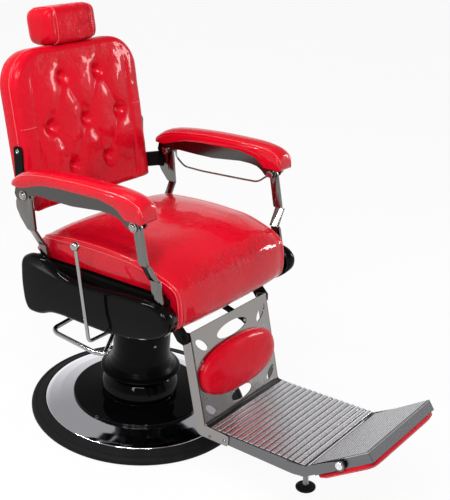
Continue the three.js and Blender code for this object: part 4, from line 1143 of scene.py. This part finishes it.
# ------------------------------------------------------------------ calf plate
CALF_HOLES = [
    (0, -45, 66, 20, 0), (0, 29.5 - CALF_LEN, 46, 18, 0),
    (132, -47, 28, 11, 0.72), (-132, -47, 28, 11, -0.72),
    (137, 34.5 - CALF_LEN, 24, 10, 0.72), (-137, 34.5 - CALF_LEN, 24, 10, -0.72),
]
FLANGE_SCREWS, FACE_SCREWS = ((-8.3, -295.1), (-58.9, -296.7)), ((139, -92), (142, -197))
# Places given from the floor: the plate's pivot, and the lower corners of its flanges.
CALF_PIVOT = (-299, 419)
FOOT_JOINT = (-386.99, 182.02)
FLANGE_FOOT = [(-78, 5), (-78, -28), (19, -36), (31, -22)]


def in_calf(y, z):
    """A point given from the floor, read along and across the calf plate."""
    spot = CALF.inverted() @ Vector((0, y / 1000, z / 1000))
    return spot.y * 1000, spot.z * 1000


def make_calf_plate():
    """The pierced face, its two flanges, which carry the pivot and hold the foot plate, and the screws."""
    face = slab(rectangle(-CALF_HALF, -CALF_LEN, CALF_HALF, 0), 0, SHEET,
                [oval(*hole) for hole in CALF_HOLES], axis="Y")
    lower = [in_calf(FOOT_JOINT[0] + y, FOOT_JOINT[1] + z) for y, z in FLANGE_FOOT]
    flange = [(0, 0), (0, -CALF_LEN + 2), *lower, (34, -CALF_LEN + 30), (34, -6), (28, 0)]
    flange = rounded_line(flange, 9, closed=True)
    pivot = round_hole(in_calf(*CALF_PIVOT), 7.3)
    sides = [slab(flange, low, low + SHEET, [pivot]) for low in (CALF_HALF - SHEET, -CALF_HALF)]
    screws = []
    for side in SIDES.values():
        for y, z in FLANGE_SCREWS:
            screws.append(handed(laid_along(screw_head(4.6, 3), (CALF_HALF, y, z), "+X"), side))
        for x, z in FACE_SCREWS:
            screws.append(laid_along(screw_head(3.6, 2.2), (side * x, 0, z), "-Y"))
    piece = finish_piece("calf_sheet", joined(face, *sides, *screws), CALF_SHEET, "leg_rest",
                         ["calf_plate"], crease=30, local=CALF)
    ease_edges(piece, 0.7)


# ------------------------------------------------------------------ foot plate and turn-over panel
FOOT_END = FOOT_LEN - 4
FOOT_RIBS = {"first": 16, "count": 17, "pitch": 17.8, "width": 14.6, "height": 2.6, "steps": 10}
FLIP_RIBS = {"first": 9, "count": 20, "pitch": 8.9, "width": 4.6, "height": 0.8, "steps": 8}
FLIP_DEEP, FLIP_HINGE_GAP, WALL_TOP = 29, 3, -0.4
FLIP_PIN_Y, FLIP_PIN_Z = -97.5, -15
FLIP_PIN = rectangle(0, 156, 6, 170)
LUG_RADIUS, LUG_PROUD, LUG_HOLE = 15, 1.5, 6.3
LEVELLER_BOSS = rectangle(8.4, -33, 14, -3)
LEVELLER_Y = 110.8 - FOOT_LEN
THREAD_TURNS, THREAD_PITCH, THREAD_START = 52, 3.0, -183.5
THREAD_TOOTH = [(7.1, 0), (8, 1.0), (8, 1.6), (7.1, 2.6)]
LEVELLER_FOOT = [(0, -198), (25, -198), (28, -195), (28, -190), (21, -186.6), (14, -185.4), (0, -185.4)]
# The heights over which the painted groove shade fades out, and the share of painted shade on the walls.
FOOT_GROOVE, FLIP_GROOVE, WALL_SHADE = 1.4, 0.75, 0.9


def marked(tread, height):
    """Marks how deep each point of a tread lies between its ribs, for the painted shade in its grooves;
    points under the tread get a fixed share.
    """
    layer = tread.verts.layers.float.new("groove")
    for vert in tread.verts:
        vert[layer] = 1 - min(1.0, abs(vert.co.z) / height) if vert.co.z > -0.5 else 0.25
    return tread


def shaded(wall):
    """Marks a whole side wall as one deep groove, which darkens it with painted shade."""
    layer = wall.verts.layers.float.new("groove")
    for vert in wall.verts:
        vert[layer] = WALL_SHADE
    return wall


def ribbed(length, first, count, pitch, width, height, steps):
    """The edge line of a sheet whose ribs are low half rounds."""
    line = [(-length, -SHEET), (0, -SHEET), (0, 0)]
    for i in range(count):
        y = -(first + i * pitch)
        for turn in spread(0, math.pi, steps + 1):
            line.append((y - width / 2 + width / 2 * math.cos(turn), height * math.sin(turn)))
    line.append((-length, 0))
    return line


def make_foot_plate():
    """The ribbed tread with its side walls, the lugs that hold the panel and the leveller's boss."""
    turn = FLIP_RISE - FOOT_RISE
    lug_y = -FOOT_LEN + FLIP_PIN_Y * math.cos(turn) + FLIP_PIN_Z * math.sin(turn)
    lug_z = -FLIP_PIN_Y * math.sin(turn) + FLIP_PIN_Z * math.cos(turn)
    side_wall = [(-4, 0), (-4, -31), (-FOOT_END + 40, -38), (-FOOT_END + 6, -33), (-FOOT_END + 2, 0)]
    lug = [(-FOOT_END + 62, -6), (-FOOT_END + 50, -36), (-FOOT_END + 6, -33), (lug_y + 7, lug_z - LUG_RADIUS)]
    for angle in spread(-62, -254, 13):
        bend = math.radians(angle)
        lug.append((lug_y + LUG_RADIUS * math.cos(bend), lug_z + LUG_RADIUS * math.sin(bend)))
    lug.append((-FOOT_END + 2, -1))
    side_wall = rounded_line(side_wall, 6, closed=True, steps=4)
    lug = rounded_line(lug, 5, closed=True, steps=3)
    inner, outer = FOOT_HALF - SHEET, FOOT_HALF + LUG_PROUD
    parts = [marked(slab(ribbed(FOOT_END, **FOOT_RIBS), -FOOT_HALF, FOOT_HALF), FOOT_GROOVE)]
    for side in SIDES.values():
        parts.append(handed(shaded(slab(side_wall, inner, FOOT_HALF)), side))
        parts.append(handed(shaded(slab(lug, inner, outer, [round_hole((lug_y, lug_z), LUG_HOLE)])), side))
        parts.append(handed(laid_along(screw_head(10.5, 4.5), (outer, lug_y, lug_z), "+X"), side))
    boss = turned(LEVELLER_BOSS, 1, 40)
    bmesh.ops.translate(boss, vec=(0, LEVELLER_Y, 0), verts=boss.verts)
    piece = finish_piece("foot_tread", joined(*parts, boss), PLATE, "leg_rest",
                         ["foot_plate"], crease=30, local=FOOT)
    ease_edges(piece, 0.6)


def make_turn_over_panel():
    """The finely ribbed tread of the panel, its four walls and the pins it turns on."""
    parts = [marked(slab(ribbed(FLIP_LEN, **FLIP_RIBS), -FLIP_HALF, FLIP_HALF), FLIP_GROOVE)]
    end_wall = rectangle(-FLIP_HALF, -FLIP_DEEP, FLIP_HALF, WALL_TOP)
    ends = (-FLIP_LEN, -SHEET - FLIP_HINGE_GAP)
    parts += [shaded(slab(end_wall, low, low + SHEET, axis="Y")) for low in ends]
    side_wall = rectangle(-FLIP_LEN, -FLIP_DEEP, -FLIP_HINGE_GAP, WALL_TOP)
    parts += [shaded(slab(side_wall, low, low + SHEET)) for low in (-FLIP_HALF, FLIP_HALF - SHEET)]
    for side in SIDES.values():
        pin = turned(FLIP_PIN, 0.8, 28)
        parts.append(handed(laid_along(pin, (0, FLIP_PIN_Y, FLIP_PIN_Z), "+X"), side))
    piece = finish_piece("panel_tread", joined(*parts), PLATE, "flip_panel",
                         ["flip_plate"], crease=30, local=FLIP)
    ease_edges(piece, 0.6)


def make_leveller():
    """The threaded stud and the round foot that it screws down to the floor."""
    thread = [(0, -185), (7.4, -185)]
    for i in range(THREAD_TURNS):
        z = THREAD_START + i * THREAD_PITCH
        thread += [(out, z + up) for out, up in THREAD_TOOTH]
    thread += [(7.4, -20), (0, -20)]
    stud = turned(thread, 0.2, 40)
    foot = turned(LEVELLER_FOOT, 2, 64)
    for bm in (stud, foot):
        bmesh.ops.translate(bm, vec=(0, LEVELLER_Y, 0), verts=bm.verts)
    finish_piece("leveller_screw", stud, STEEL, "leveller", ["leveller_stud"], local=FOOT)
    finish_piece("leveller_pad", foot, RUBBER, "leveller", ["leveller_foot"], local=FOOT)


# ------------------------------------------------------------------ plain solids with eased edges
EASED = [
    (1.4, POST_PLATE, "rear_post_left", "rear_post_right", "front_post_left", "front_post_right"),
    (1.6, BLACK_VINYL, "back_panel"),
    (1.0, BLACK_SATIN, "leg_bracket_left", "leg_bracket_right"),
    (1.5, BLACK_SATIN, "swivel_head"),
    (1.2, BLACK_SATIN, "seat_frame"),
    (1.5, BLACK_SATIN, "seat_pan"),
    (1.0, BLACK_SATIN, "recline_link"),
    (0.8, STEEL, "recline_shaft", "link_ear"),
    (0.8, CHROME, "headrest_stem"),
    (0.6, STEEL, "headrest_guide"),
    (0.7, BLACK_SATIN, "gas_spring_cylinder"),
    (0.5, STEEL, "gas_spring_rod"),
    (0.8, STEEL, "base_plate"),
    (0.8, BLACK_SATIN, "cylinder_head"),
]

make_base()
make_column()
make_pump_lever()
make_recline_lever()
make_side_covers()
make_bolts()
make_arm_channels()
make_back_brackets()
make_towel_rail()
make_calf_plate()
make_foot_plate()
make_turn_over_panel()
make_leveller()
make_strap_bolts()
for radius, material, *node_names in EASED:
    for node_name in node_names:
        eased(node_name, radius, material)
make_seat_cushion()
make_back_cushion()
make_buttons()
make_head_cushion()
make_arm_pads()
make_leg_pads()


# ------------------------------------------------------------------ camera, light, floor
CAMERA_PLACE = (-1.945, -1.698, 1.701)
YAW, PITCH, ROLL = math.radians(-53.90), math.radians(24.33), math.radians(4.75)
LENS, SENSOR = 70.96, 36
WORLD_LIGHT, WORLD_DIMMING, WORLD_FADE = 0.22, 0.7, (0.12, 0.62)
FLOOR_WHITE, FLOOR_HALF, FLOOR_DROP = 0.93, 40.0, 0.0005
# Each lamp's place, the point that it shines at, its width and height in metres and its power in watts.
LAMPS = {
    "key": ((-2.6, -0.9, 2.7), (0, -0.1, 0.6), (0.4, 0.9), 26),
    "fill": ((2.5, -1.5, 1.45), (0, 0.1, 0.75), (0.34, 0.8), 22),
    "top": ((0.2, 0.9, 3.2), (0, 0, 0.7), (1.0, 1.0), 4),
    "crest_strip": ((-1.2, 1.2, 2.6), (0, 0, 0.5), (0.12, 1.4), 34),
    "front_strip": ((-1.7, -1.35, 2.4), (0, 0, 0.4), (1.5, 0.08), 22),
    "window_left": ((-1.3, -0.8, 2.5), (0, 0, 0.3), (0.15, 0.22), 12),
    "window_right": ((-0.8, -1.35, 2.5), (0, 0, 0.3), (0.15, 0.22), 12),
}


def stand(name, data, place, turn):
    """Puts a camera or a lamp in its place."""
    thing = bpy.data.objects.new(name, data)
    bpy.context.collection.objects.link(thing)
    thing.matrix_world = Matrix.Translation(place) @ turn.to_4x4()
    return thing


def set_camera():
    behind = Vector((math.sin(YAW) * math.cos(PITCH), -math.cos(YAW) * math.cos(PITCH), math.sin(PITCH)))
    across = Vector((math.cos(YAW), math.sin(YAW), 0))
    upward = behind.cross(across)
    right = across * math.cos(ROLL) + upward * math.sin(ROLL)
    top = upward * math.cos(ROLL) - across * math.sin(ROLL)
    data = bpy.data.cameras.new("camera")
    data.lens = LENS
    data.sensor_width = SENSOR
    bpy.context.scene.camera = stand("camera", data, CAMERA_PLACE, Matrix((right, top, behind)).transposed())


def set_lamps():
    for name, (place, aim, size, power) in LAMPS.items():
        data = bpy.data.lights.new(name, "AREA")
        data.shape = "RECTANGLE"
        data.size, data.size_y = size
        data.energy = power
        direction = Vector(aim) - Vector(place)
        stand(name, data, place, direction.to_track_quat("-Z", "Y").to_matrix())


def seen_directly(network):
    """One where a camera, mirror or see-through ray looks, and nought for the light that falls on things."""
    camera, mirror, see_through = (
        network.node("ShaderNodeLightPath", {}, {}, f"Is {kind} Ray")
        for kind in ("Camera", "Glossy", "Transmission"))
    return (camera + mirror + see_through).at_most(1.0)


def set_world():
    """A room that is white low down and dimmer above where it is seen, and even in the light it gives."""
    world = bpy.data.worlds.new("studio")
    bpy.context.scene.world = world
    world.use_nodes = True
    sky = Network(world.node_tree)
    back = sky.tree.nodes["Background"]
    back.inputs["Color"].default_value = (1, 1, 1, 1)
    height = sky.part_of(sky.place("Generated"), "Z")
    brightness = 1.0 - height.between(*WORLD_FADE) * WORLD_DIMMING
    sky.feed(back.inputs["Strength"], WORLD_LIGHT + (brightness - WORLD_LIGHT) * seen_directly(sky))


def set_floor():
    bm = bmesh.new()
    bmesh.ops.create_grid(bm, x_segments=1, y_segments=1, size=FLOOR_HALF)
    bmesh.ops.translate(bm, vec=(0, 0, -FLOOR_DROP), verts=bm.verts)
    finish = Finish("floor", (0.86, 0.86, 0.86), 0.7)
    glow = finish.node("ShaderNodeEmission", {}, {"Strength": 1.0})
    lit = Wire(finish, finish.shader.outputs["BSDF"])
    surface = finish.node("ShaderNodeMixShader", {}, {
        0: seen_directly(finish) * FLOOR_WHITE, 1: lit, 2: glow})
    finish.feed(finish.tree.nodes["Material Output"].inputs["Surface"], surface)
    floor = new_piece("floor", bm, finish.material)


set_camera()
set_world()
set_floor()
set_lamps()
bpy.context.scene.view_settings.view_transform = "Standard"
